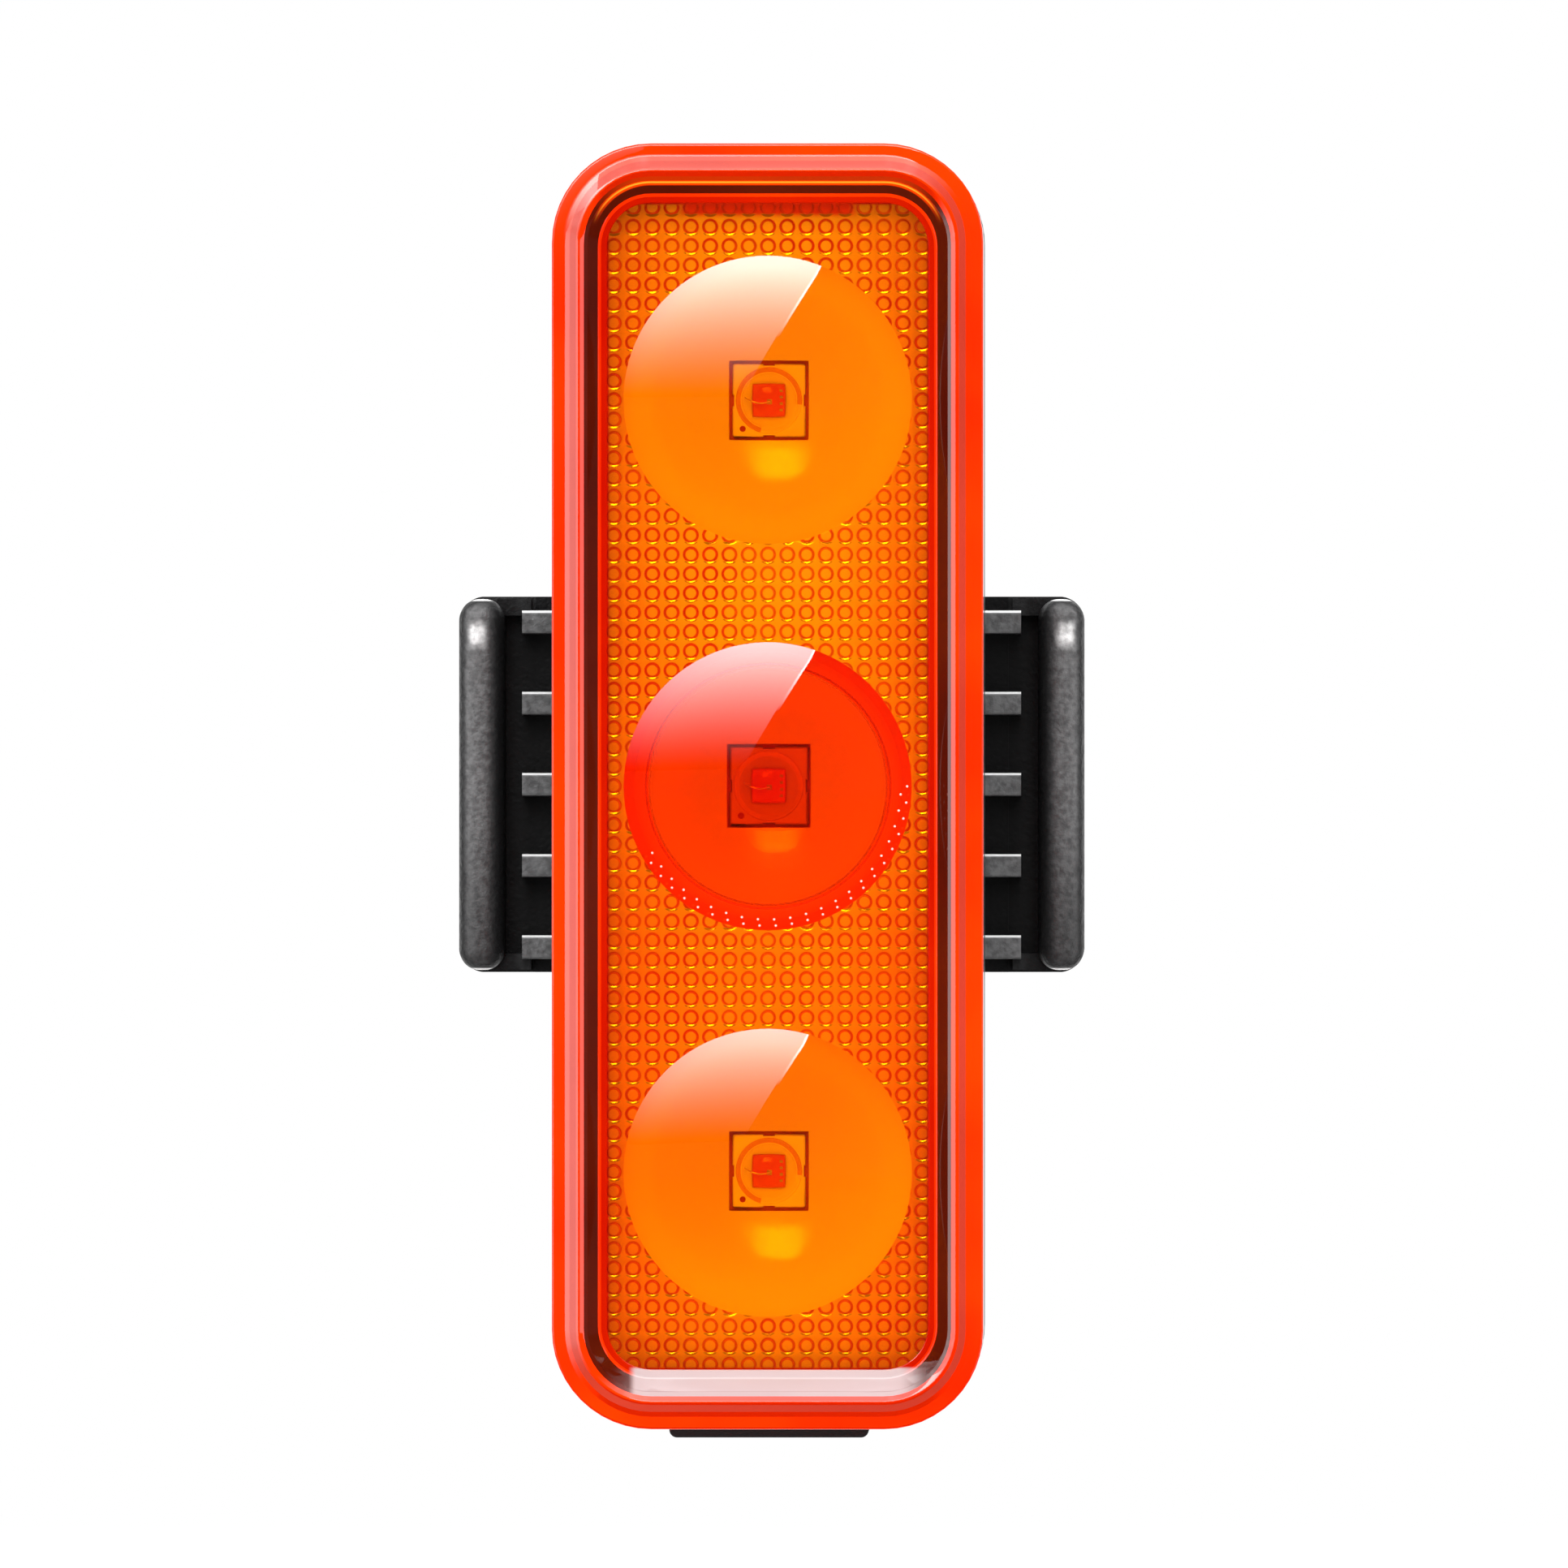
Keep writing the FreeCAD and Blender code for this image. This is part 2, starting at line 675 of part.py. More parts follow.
def make_leds():
    """Three square light sources: base, chip and soft round lens."""
    for spot, z in OPTICS:
        half, chip = "led_side / 2", "die_side / 2"
        keep(f"led_base_{spot}", block(f"led_base_{spot}", f"-{half}", half, "board_front", "led_front",
                                       f"{z} - {half}", f"{z} + {half}"))
        die = block(f"led_die_{spot}", f"-{chip}", chip, "led_front", "led_front + die_thickness",
                    f"{z} - {chip}", f"{z} + {chip}")
        keep(f"led_die_{spot}", die)
        dome = overlap(f"led_dome_whole_{spot}", ball(f"led_ball_{spot}", "led_dome_radius", "led_front", z),
                       peg(f"led_limit_{spot}", "led_dome_radius + past", "led_front",
                           "led_front + led_dome_radius + past", "0", z))
        room = block(f"led_room_{spot}", f"-{chip}", chip, "led_front - past", "led_front + die_thickness",
                     f"{z} - {chip}", f"{z} + {chip}")
        keep(f"led_dome_{spot}", cut(f"led_dome_{spot}", dome, room))


def make_board():
    """Circuit board with a tongue at the top for the switch and one at the bottom for the socket."""
    main = rounded_slab("board_main", "2 * (inner_half_width - board_gap)", "2 * board_half_height",
                        "board_corner", "board_back", "board_front")
    tongue = block("board_tongues", "-board_tongue_half_width", "board_tongue_half_width", "board_back",
                   "board_front", "-board_bottom", "board_top")
    keep("circuit_board", join("circuit_board", main, tongue))


def make_board_parts():
    """Chips and passive parts soldered to the board's back."""
    def soldered(name, x, z, width, height, thickness):
        return block(name, f"{x} - {width} / 2", f"{x} + {width} / 2", f"board_back - {thickness}",
                     "board_back",
                     f"{z} - {height} / 2", f"{z} + {height} / 2")

    side = "controller_side"
    keep("microcontroller", soldered("microcontroller", "-part_column", "part_row", side, side,
                                     "controller_thickness"))
    side = "charger_side"
    keep("charger_chip", soldered("charger_chip", "part_column", "-part_low_row", side, side,
                                  "charger_thickness"))
    side = "inductor_side"
    keep("inductor", soldered("inductor", "-part_column", "-part_low_row", side, side, "inductor_thickness"))
    spots = [
        ("part_column", "part_row"),
        ("part_column", "part_row - part_step"),
        ("0", "part_row"),
        ("0", "-part_low_row"),
        ("0", "part_step - part_low_row"),
        ("-part_column", "part_row + 2 * part_step"),
    ]
    group("capacitors", [soldered(f"capacitor_{i}", x, z, "capacitor_length", "capacitor_width",
                                  "capacitor_width") for i, (x, z) in enumerate(spots, start=1)])


def make_switch():
    """Side switch on the board's top tongue, with the plunger that the button pushes."""
    body = block("switch_whole", "-switch_width / 2", "switch_width / 2", "board_back - switch_depth",
                 "board_back", "switch_top - switch_height", "switch_top")
    well = block("switch_well", "-(plunger_width / 2 + plunger_gap)", "plunger_width / 2 + plunger_gap",
                 "plunger_centre - plunger_depth / 2 - plunger_gap",
                 "plunger_centre + plunger_depth / 2 + plunger_gap", "switch_top - plunger_well",
                 "switch_top + past")
    keep("switch_body", cut("switch_body", body, well))
    keep("switch_plunger", block("switch_plunger", "-plunger_width / 2", "plunger_width / 2",
                                 "plunger_centre - plunger_depth / 2", "plunger_centre + plunger_depth / 2",
                                 "switch_top - plunger_engaged", "flange_bottom"))


def make_button():
    """Push button in the housing's top wall: a cap, and a flange that keeps it in."""
    cap = flat_slab("button_cap", "button_length", "button_width", "button_width * end_share",
                    "button_centre",
                    "flange_top", "button_top")
    top = num("button_top")
    names = edge_names(cap.Tip.Shape, lambda e, b: abs(b.ZMin - top) < 1e-4 and abs(b.ZMax - top) < 1e-4)
    round_edges(cap, cap.Tip, names, "button_round")
    flange = flat_slab("button_flange_slab", "button_length + 2 * button_flange",
                       "button_width + 2 * button_flange", "(button_width + 2 * button_flange) * end_share",
                       "button_centre", "flange_bottom", "flange_top")
    keep("power_button", join("power_button", cap, flange))
    outer = flat_slab("seal_outer", "button_length + 2 * seal_margin", "button_width + 2 * seal_margin",
                      "(button_width + 2 * seal_margin) * end_share", "button_centre", "inner_half_height",
                      "inner_half_height + seal_thickness")
    hole = flat_slab("seal_hole", "button_length + 2 * button_gap", "button_width + 2 * button_gap",
                     "(button_width + 2 * button_gap) * end_share", "button_centre",
                     "inner_half_height - past",
                     "inner_half_height + seal_thickness + past")
    keep("button_seal", cut("button_seal", outer, hole))


def make_socket():
    """Charging socket on the board's bottom tongue: metal shell, and contact tongue with its block."""
    shell = flat_slab("socket_outside", "socket_width", "socket_thickness", "socket_thickness * end_share",
                      "socket_centre", "-socket_mouth", "socket_length - socket_mouth")
    inside = flat_slab("socket_inside", "socket_width - 2 * socket_wall",
                       "socket_thickness - 2 * socket_wall",
                       "(socket_thickness - 2 * socket_wall) * end_share", "socket_centre",
                       "-socket_mouth - past", "socket_length - socket_mouth + past")
    keep("socket_shell", cut("socket_shell", shell, inside))
    filler = flat_slab("socket_filler", "socket_width - 2 * socket_wall",
                       "socket_thickness - 2 * socket_wall",
                       "(socket_thickness - 2 * socket_wall) * end_share", "socket_centre",
                       "socket_length - socket_mouth - socket_back", "socket_length - socket_mouth")
    tongue = block("socket_blade", "-socket_tongue_width / 2", "socket_tongue_width / 2",
                   "socket_centre - socket_tongue_thickness / 2",
                   "socket_centre + socket_tongue_thickness / 2",
                   "socket_tongue_inset - socket_mouth", "socket_length - socket_mouth - socket_back / 2")
    keep("socket_tongue", join("socket_tongue", filler, tongue))


def make_housing():
    """Black rear housing: shell, screw columns, board rests, and every opening in its walls."""
    body = doc.addObject("PartDesign::Body", "housing_shell")
    outline = new_sketch(body, "housing_outline", "XZ_Plane", "lamp_back")
    draw_rounded(outline, "lamp_width", "lamp_height", "lamp_corner")
    pad = body.newObject("PartDesign::Pad", "housing_pad")
    pad.Profile = outline
    drive(pad, Length="housing_depth")
    doc.recompute()
    rim = round_edges(body, pad, level_edges(pad.Shape, -num("lamp_back")), "housing_back_round")
    bevel_edges(body, rim, level_edges(rim.Shape, -num("parting")), "parting_chamfer")
    for name, width, height, corner, start in (
        ("housing_hollow", "2 * inner_half_width", "2 * inner_half_height", "inner_corner", "housing_floor"),
        ("gasket_rebate", "2 * (inner_half_width + gasket_width)", "2 * (inner_half_height + gasket_width)",
         "inner_corner + gasket_width", "parting - gasket_thickness"),
    ):
        hollow = new_sketch(body, name + "_outline", "XZ_Plane", start)
        draw_rounded(hollow, width, height, corner)
        pocket = body.newObject("PartDesign::Pocket", name)
        pocket.Profile = hollow
        pocket.Reversed = True
        drive(pocket, Length=f"parting - ({start})")
        body.Tip = pocket
        doc.recompute()

    additions, holes = [body], []
    seat = "screw_seat"
    column = "screw_head_radius + screw_head_gap + column_wall"
    for corner, x, z, _ in CORNERS:
        additions.append(peg(f"column_{corner}", column, "housing_floor - weld", f"{seat} + screw_grip",
                             x, z))
        additions.append(peg(f"column_tip_{corner}", "post_outer_radius", f"{seat} + screw_grip",
                             "parting", x, z))
        holes.append(peg(f"screw_way_{corner}", "screw_radius + screw_gap", f"{seat} - past",
                         "parting + past", x, z))
        holes.append(peg(f"head_way_{corner}", "screw_head_radius + screw_head_gap", "lamp_back - past",
                         seat, x, z))
    for side, sign in (("right", 1), ("left", -1)):
        for row in (-1, 0, 1):
            low = f"{row} * rest_pitch - rest_width / 2"
            high = f"{row} * rest_pitch + rest_width / 2"
            near, far = "inner_half_width - rest_inset", "inner_half_width + wall / 2"
            span = (near, far) if sign > 0 else (f"-({far})", f"-({near})")
            name = f"rest_{side}_{'low mid high'.split()[row + 1]}"
            additions.append(block(name, *span, "housing_floor - weld", "board_back", low, high))
    for end, sign in (("top", ""), ("bottom", "-")):
        height = f"{sign}plate_screw_height"
        additions.append(peg(f"plate_boss_{end}", "plate_screw_radius + plate_boss_wall", "plate_seat",
                             "plate_back + plate_screw_length + plate_boss_end", "0", height))
        holes.append(peg(f"plate_pilot_{end}", "plate_screw_radius", "lamp_back - past",
                         "plate_back + plate_screw_length + plate_gap", "0", height))
    holes.append(rounded_slab("plate_recess", "plate_width + 2 * plate_gap", "plate_height + 2 * plate_gap",
                              "plate_corner + plate_gap", "lamp_back - past", "plate_seat"))
    holes.append(flat_slab("button_way", "button_length + 2 * button_gap", "button_width + 2 * button_gap",
                           "(button_width + 2 * button_gap) * end_share", "button_centre",
                           "inner_half_height - past", "half_height + past"))
    holes.append(flat_slab("seal_way", "button_length + 2 * seal_margin", "button_width + 2 * seal_margin",
                           "(button_width + 2 * seal_margin) * end_share", "button_centre",
                           "inner_half_height - past", "inner_half_height + seal_thickness"))
    holes.append(flat_slab("socket_way", "socket_width + 2 * socket_gap", "socket_thickness + 2 * socket_gap",
                           "(socket_thickness + 2 * socket_gap) * end_share", "socket_centre",
                           "-half_height - past", "past - inner_half_height"))
    holes.append(block("flap_way", "-(flap_width / 2 + flap_gap)", "flap_width / 2 + flap_gap", "recess_back",
                       "parting + past", "-half_height - past", "flap_recess - half_height"))
    holes.append(upright("anchor_way", "anchor_stem_radius + anchor_gap", "-half_height - past",
                         "past - inner_half_height", "0", "anchor_centre"))
    keep("rear_housing", cut("rear_housing", join("housing_whole", *additions), *holes))


def make_gasket():
    """Rubber ring between the cover's skirt and the housing's rim."""
    outer = rounded_slab("gasket_outer", "2 * (inner_half_width + gasket_width)",
                         "2 * (inner_half_height + gasket_width)", "inner_corner + gasket_width",
                         "parting - gasket_thickness", "parting")
    inner = rounded_slab("gasket_inner", "2 * inner_half_width", "2 * inner_half_height", "inner_corner",
                         "parting - gasket_thickness - past", "parting + past")
    keep("housing_gasket", cut("housing_gasket", outer, inner))


def cross_recess(name, radius, back, x, z):
    """Cross-shaped driver recess in a screw's head."""
    arm, half = f"({radius}) * recess_arm_share", "recess_width / 2"
    start, stop = f"({back}) - past", f"({back}) + recess_depth"
    return [
        block(name + "_level", f"{x} - {arm}", f"{x} + {arm}", start, stop, f"{z} - {half}", f"{z} + {half}"),
        block(name + "_plumb", f"{x} - {half}", f"{x} + {half}", start, stop, f"{z} - {arm}", f"{z} + {arm}"),
    ]


def make_screws():
    """Four housing screws with flat heads, and two countersunk screws for the mounting plate."""
    screws = []
    for corner, x, z, _ in CORNERS:
        head_back = "screw_seat - screw_head_height"
        head = peg(f"screw_head_{corner}", "screw_head_radius", head_back, "screw_seat", x, z)
        shank = peg(f"screw_shank_{corner}", "screw_radius", "screw_seat - screw_head_height / 2",
                    "screw_seat + screw_length", x, z)
        slots = cross_recess(f"screw_cross_{corner}", "screw_head_radius", head_back, x, z)
        screws.append(cut(f"screw_{corner}", join(f"screw_whole_{corner}", head, shank), *slots))
    group("housing_screws", screws)
    screws = []
    for end, sign in (("top", ""), ("bottom", "-")):
        z = f"{sign}plate_screw_height"
        head = countersink(f"plate_head_{end}", "plate_screw_radius", "plate_head_radius", "plate_back",
                           "plate_back + plate_head_height", "0", z)
        shank = peg(f"plate_shank_{end}", "plate_screw_radius", "plate_back + plate_head_height",
                    "plate_back + plate_screw_length", "0", z)
        slots = cross_recess(f"plate_cross_{end}", "plate_head_radius", "plate_back", "0", z)
        screws.append(cut(f"plate_screw_{end}", join(f"plate_screw_whole_{end}", head, shank), *slots))
    group("plate_screws", screws)


def make_plate():
    """Mounting plate on the lamp's back with the sliding foot."""
    slab = rounded_slab("plate_slab", "plate_width", "plate_height", "plate_corner", "plate_back",
                        "plate_seat")
    names = level_edges(slab.Tip.Shape, -num("plate_back"))
    round_edges(slab, slab.Tip, names, "plate_edge_round")
    neck = block("foot_neck", "-neck_half_width", "neck_half_width", "head_front - head_thickness / 4",
                 "plate_back + plate_thickness / 2", "-foot_height / 2", "foot_height / 2")
    head = block("foot_head", "-head_half_width", "head_half_width", "head_back", "head_front",
                 "-foot_height / 2", "foot_height / 2")
    doc.recompute()
    corners = edge_names(head.Shape, lambda e, b: b.YLength > 0.1)
    head = soften("foot_head_soft", head, corners, num("foot_corner"))
    holes = []
    for end, sign in (("top", ""), ("bottom", "-")):
        z = f"{sign}plate_screw_height"
        holes.append(countersink(f"plate_sink_{end}", "plate_screw_radius", "plate_head_radius", "plate_back",
                                 "plate_back + plate_head_height", "0", z))
        holes.append(peg(f"plate_hole_{end}", "plate_screw_radius", "plate_back", "plate_seat + past",
                         "0", z))
    keep("mounting_plate", cut("mounting_plate", join("plate_whole", slab, neck, head), *holes))


def make_battery():
    """Flat pouch cell on a foam strip, its guard board, and the two leads to the circuit board."""
    body = doc.addObject("PartDesign::Body", "battery_cell")
    outline = new_sketch(body, "cell_outline", "XY_Plane", "-cell_bottom")
    draw_rounded(outline, "cell_width", "cell_thickness", "cell_corner", "0", "-(cell_back + cell_front) / 2")
    pad = body.newObject("PartDesign::Pad", "cell_pad")
    pad.Profile = outline
    drive(pad, Length="cell_bottom + cell_top")
    body.Tip = pad
    keep("battery_cell", body)
    keep("battery_foam", block("battery_foam", "-foam_width / 2", "foam_width / 2", "housing_floor",
                               "cell_back",
                               "foam_margin - cell_bottom", "cell_top - foam_margin"))
    middle = "(cell_back + cell_front) / 2"
    keep("battery_guard", block("battery_guard", "-guard_width / 2", "guard_width / 2",
                                f"{middle} - guard_thickness / 2", f"{middle} + guard_thickness / 2",
                                "cell_top", "cell_top + guard_height"))
    for sign, count in (("positive", 0), ("negative", 1)):
        keep("battery_lead_" + sign, make_lead("battery_lead_" + sign, count))


def make_lead(name, count):
    """Insulated wire: up from the guard board, round one wide bend, forward to the circuit board."""
    x = num("lead_offset") + count * num("lead_spacing")
    depth = num("(cell_back + cell_front) / 2")
    start = FreeCAD.Vector(x, -depth, num("cell_top + guard_height"))
    turn = start + FreeCAD.Vector(0, 0, num("lead_rise"))
    end = FreeCAD.Vector(x, -num("board_back"), turn.z)
    shorter = min((turn - start).Length, (end - turn).Length)
    radius = num("lead_bend_share") * shorter
    before = turn - FreeCAD.Vector(0, 0, radius)
    after = turn - FreeCAD.Vector(0, radius, 0)
    centre = before - FreeCAD.Vector(0, radius, 0)
    middle = centre + FreeCAD.Vector(0, math.cos(math.pi / 4), math.sin(math.pi / 4)) * radius
    path = Part.Wire([Part.LineSegment(start, before).toShape(), Part.Arc(before, middle, after).toShape(),
                      Part.LineSegment(after, end).toShape()])
    section = Part.Wire([Part.Circle(start, FreeCAD.Vector(0, 0, 1), num("lead_radius")).toShape()])
    tube = path.makePipeShell([section], True, False)
    expected = math.pi * num("lead_radius") ** 2 * path.Length
    print(f"{name}: bend radius {radius:.2f} mm, volume {tube.Volume:.3f} of {expected:.3f} mm3")
    thing = doc.addObject("Part::Feature", name)
    thing.Shape = tube
    thing.Placement = FreeCAD.Placement()
    return thing


def make_port_cover():
    """Rubber flap under the lamp with the stopper that fills the socket, and its fixed anchor."""
    body = doc.addObject("PartDesign::Body", "flap_body")
    side = new_sketch(body, "flap_side", "YZ_Plane", "-flap_width / 2")
    hinge = "-(hinge_depth + hinge_gap)"
    draw_outline(side, [
        (hinge, "-flap_outside"),
        (f"{hinge} - flap_notch", "-flap_inside"),
        ("-flap_front", "-flap_inside"),
        ("-flap_front", "-flap_outside"),
    ])
    pad = body.newObject("PartDesign::Pad", "flap_pad")
    pad.Profile = side
    drive(pad, Length="flap_width")
    body.Tip = pad
    doc.recompute()
    low, half = -num("flap_outside"), num("flap_width / 2")

    def lower_side(edge, box):
        return abs(box.ZMax - low) < 1e-4 and (abs(box.XMin - half) < 1e-4 or abs(box.XMax + half) < 1e-4)

    round_edges(body, pad, edge_names(pad.Shape, lower_side), "flap_round")
    stopper = flat_slab("stopper", "stopper_width", "stopper_thickness", "stopper_thickness * end_share",
                        "socket_centre", "-flap_inside - weld / 2", "stopper_height - flap_inside")
    top = num("stopper_height - flap_inside")
    names = edge_names(stopper.Tip.Shape, lambda e, b: abs(b.ZMin - top) < 1e-4 and abs(b.ZMax - top) < 1e-4)
    round_edges(stopper, stopper.Tip, names, "stopper_round")
    keep("port_cover", join("port_cover", body, stopper))
    strip = block("anchor_strip", "-flap_width / 2", "flap_width / 2", "anchor_back", "hinge_depth",
                  "-flap_outside", "-flap_inside")
    doc.recompute()

    def outer_corner(edge, box):
        return box.YLength > 0.5 and abs(box.ZMax - low) < 1e-4

    soft = soften("anchor_soft", strip, edge_names(strip.Shape, outer_corner), num("flap_round"))
    stem = upright("anchor_stem", "anchor_stem_radius", "-flap_inside - weld / 2",
                   "weld / 2 - inner_half_height",
                   "0", "anchor_centre")
    barb = upright("anchor_barb", "anchor_head_radius", "anchor_gap - inner_half_height",
                   "anchor_gap + anchor_head_height - inner_half_height", "0", "anchor_centre")
    keep("port_cover_anchor", join("port_cover_anchor", soft, stem, barb))


def make_saddle():
    """Seatpost bracket: curved saddle, slide rail, ribbed wings, bars and the strap's bead channels."""
    half = "saddle_height / 2"
    centre = block("saddle_centre", "-rail_half_width", "rail_half_width", "0", "lip_front", f"-{half}", half)
    solids = [centre]
    arms = upright("saddle_arms", "bore_radius + arm_wall", f"-{half}", half)
    drive(arms, Angle="2 * arm_reach")
    arms.Placement.Rotation = FreeCAD.Rotation(FreeCAD.Vector(0, 0, 1), -90 - num("arm_reach"))
    arms.setExpression("Placement.Rotation.Angle", "-90 - " + ex("arm_reach"))
    solids.append(arms)

    def mirrored(name, sign, near, far, back, front, low, high):
        span = (near, far) if sign > 0 else (f"-({far})", f"-({near})")
        return block(name, *span, back, front, low, high)

    cuts = []
    for side, sign in (("right", 1), ("left", -1)):
        inner = "bead_x - bead_hole - channel_inner_wall"
        solids.append(mirrored(f"wing_{side}", sign, "rail_half_width - weld", f"{inner} + weld",
                               "wing_floor - wing_thickness", "wing_floor", f"-{half}", half))
        channel = mirrored(f"channel_block_{side}", sign, inner, "bracket_width / 2", "channel_back",
                           "channel_front", f"-{half}", half)
        doc.recompute()
        far = num("bracket_width / 2")

        def outer_back(edge, box, far=far):
            at_side = abs(max(box.XMax, -box.XMin) - far) < 1e-4 and box.XLength < 1e-4
            return at_side and box.ZLength > 1 and abs(box.YMax + num("channel_back")) < 1e-4

        solids.append(soften(f"channel_{side}", channel, edge_names(channel.Shape, outer_back),
                             num("channel_round")))
        for i in (-2, -1, 0, 1, 2):
            name = f"rib_{side}_{i + 3}"
            rib = mirrored(name + "_block", sign, "rail_half_width - weld", "rib_end",
                           "wing_floor - weld", "rib_front", f"{i} * rib_pitch - rib_thickness / 2",
                           f"{i} * rib_pitch + rib_thickness / 2")
            doc.recompute()
            names = edge_names(rib.Shape, lambda e, b: b.XLength > 1 and b.YMin + num("rib_front") < 1e-4)
            solids.append(soften(name, rib, names, num("rib_round")))
        for end, way in (("top", 1), ("bottom", -1)):
            edge, inner = "bar_height / 2", "bar_height / 2 - throat_bridge"
            span = (inner, edge) if way > 0 else (f"-({edge})", f"-({inner})")
            solids.append(mirrored(f"bridge_{side}_{end}", sign, "rib_end - weld", "bar_inner + weld",
                                   "channel_front - weld", "channel_front + throat_bridge_rise", *span))
        bar = mirrored(f"bar_block_{side}", sign, "bar_inner", "bracket_width / 2", "channel_front - weld",
                       "bar_front", "-bar_height / 2", "bar_height / 2")
        doc.recompute()
        front = -num("bar_front")

        def outer_edge(edge, box, front=front):
            at_front = abs(box.YMin - front) < 1e-4 and abs(box.YMax - front) < 1e-4
            return at_front or (box.YLength > 0.5)

        solids.append(soften(f"bar_{side}", bar, edge_names(bar.Shape, outer_edge), num("bar_round")))
        x = f"{sign} * bead_x"
        cuts.append(upright(f"bead_way_{side}", "bead_hole", f"-{half} - past", f"{half} + past", x,
                            "bead_depth"))
        cuts.append(web_block(f"web_way_{side}", sign, "strap_gap", f"-{half} - past", f"{half} + past",
                              "wing_thickness"))
    cuts.append(upright("post_way", "bore_radius", f"-{half} - past", f"{half} + past"))
    cuts.append(block("rail_way", "-(head_half_width + side_gap)", "head_half_width + side_gap",
                      "floor_depth", "lip_back", "-foot_height / 2 - stop_gap", f"{half} + past"))
    cuts.append(block("neck_way", "-(neck_half_width + side_gap)", "neck_half_width + side_gap",
                      "lip_back - slide_gap", "lip_front + past", f"-{half} - past", f"{half} + past"))
    keep("bracket_saddle", cut("bracket_saddle", join("saddle_whole", *solids), *cuts))


def web_block(name, sign, grow, low, high, length=None):
    """Straight stretch of the strap from a bead back to where it meets the post, grown by a gap."""
    reach = num("bead_reach")
    lean = math.degrees(math.acos(num("strap_mid") / reach) - math.atan2(num("bead_depth"), num("bead_x")))
    thing = doc.addObject("Part::Box", name)
    thickness = f"strap_thickness + 2 * {grow}"
    drive(thing, Length=thickness, Width=f"{length}" if length else "web_length",
          Height=f"({high}) - ({low})")
    thing.Placement.Rotation = FreeCAD.Rotation(FreeCAD.Vector(0, 0, 1), sign * lean)
    slope = math.radians(lean)
    place(thing, f"{sign} * bead_x - ({thickness}) / 2 * {math.cos(slope):.9f}",
          f"bead_depth + ({sign * math.sin(slope):.9f}) * ({thickness}) / 2", low)
    return thing


def make_strap():
    """Rubber strap round the back of the post with a round bead at each end."""
    half = "strap_height / 2"
    reach = num("bead_reach")
    lean = math.degrees(math.acos(num("strap_mid") / reach) - math.atan2(num("bead_depth"), num("bead_x")))
    hoop = upright("strap_hoop", "post_radius + strap_thickness", f"-{half}", half)
    hoop.Angle = 180 - 2 * lean
    hoop.Placement.Rotation = FreeCAD.Rotation(FreeCAD.Vector(0, 0, 1), lean)
    pieces = [hoop]
    for side, sign in (("right", 1), ("left", -1)):
        pieces.append(upright(f"bead_{side}", "bead_radius", f"-{half}", half, f"{sign} * bead_x",
                              "bead_depth"))
        pieces.append(web_block(f"web_{side}", sign, "0", f"-{half}", half))
    post = upright("strap_post", "post_radius", f"-{half} - past", f"{half} + past")
    keep("rubber_strap", cut("rubber_strap", join("strap_whole", *pieces), post))


def make_pad():
    """Rubber pad between saddle and post, with grooves along the post."""
    half = "pad_height / 2"
    hoop = upright("pad_hoop", "bore_radius", f"-{half}", half)
    hoop.Placement.Rotation = FreeCAD.Rotation(FreeCAD.Vector(0, 0, 1), -90 - num("pad_sweep") / 2)
    drive(hoop, Angle="pad_sweep")
    hoop.setExpression("Placement.Rotation.Angle", "-90 - " + ex("pad_sweep / 2"))
    cuts = [upright("pad_post", "post_radius", f"-{half} - past", f"{half} + past")]
    for i in range(-2, 3):
        groove = doc.addObject("Part::Box", f"pad_groove_{i + 3}")
        angle = -90 + i * num("pad_sweep") / 6
        drive(groove, Length="post_radius + pad_groove_depth", Width="pad_groove_width",
              Height="pad_height + 2 * past")
        groove.Placement.Rotation = FreeCAD.Rotation(FreeCAD.Vector(0, 0, 1), angle)
        side = FreeCAD.Vector(-math.sin(math.radians(angle)), math.cos(math.radians(angle)), 0)
        place(groove, f"-({side.x:.9f}) * pad_groove_width / 2", f"({side.y:.9f}) * pad_groove_width / 2",
              f"-{half} - past")
        cuts.append(groove)
    keep("saddle_pad", cut("saddle_pad", hoop, *cuts))


# The three lights stand above each other; the screws stand in the four corners.
OPTICS = [("top", "optic_pitch"), ("middle", "0"), ("bottom", "-optic_pitch")]
CORNERS = [
    ("top_right", "screw_x", "screw_z", -45),
    ("top_left", "-screw_x", "screw_z", -135),
    ("bottom_left", "-screw_x", "-screw_z", 135),
    ("bottom_right", "screw_x", "-screw_z", 45),
]

make_lens_cover()
make_bezel()
make_reflector()
make_middle_lens()
make_leds()
make_board()
make_board_parts()
make_switch()
make_button()
make_socket()
make_housing()
make_gasket()
make_screws()
make_plate()
make_battery()
make_port_cover()
make_saddle()
make_strap()
make_pad()

doc.recompute()
for thing in doc.Objects:
    if "Invalid" in thing.State or "Error" in thing.State:
        raise RuntimeError(f"{thing.Name} failed: {thing.State}")
for name, thing in nodes.items():
    shape = thing.Shape
    if shape.isNull() or not shape.isValid() or not shape.Solids:
        raise RuntimeError(f"{name} has no valid solid")

os.makedirs("parts", exist_ok=True)
for name, thing in nodes.items():
    thing.Shape.exportStep(f"parts/{name}.step")
    box = thing.Shape.BoundBox
    print(f"{name}: {len(thing.Shape.Solids)} solids, volume {thing.Shape.Volume:.2f} mm3, "
          f"x {box.XMin:.2f} {box.XMax:.2f} y {box.YMin:.2f} {box.YMax:.2f} z {box.ZMin:.2f} {box.ZMax:.2f}")
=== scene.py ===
import json
from functools import reduce
from math import acos, atan2, copysign, cos, hypot, pi, radians, sin, sqrt, tan

import bmesh
import bpy
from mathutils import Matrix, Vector
from mathutils.geometry import delaunay_2d_cdt


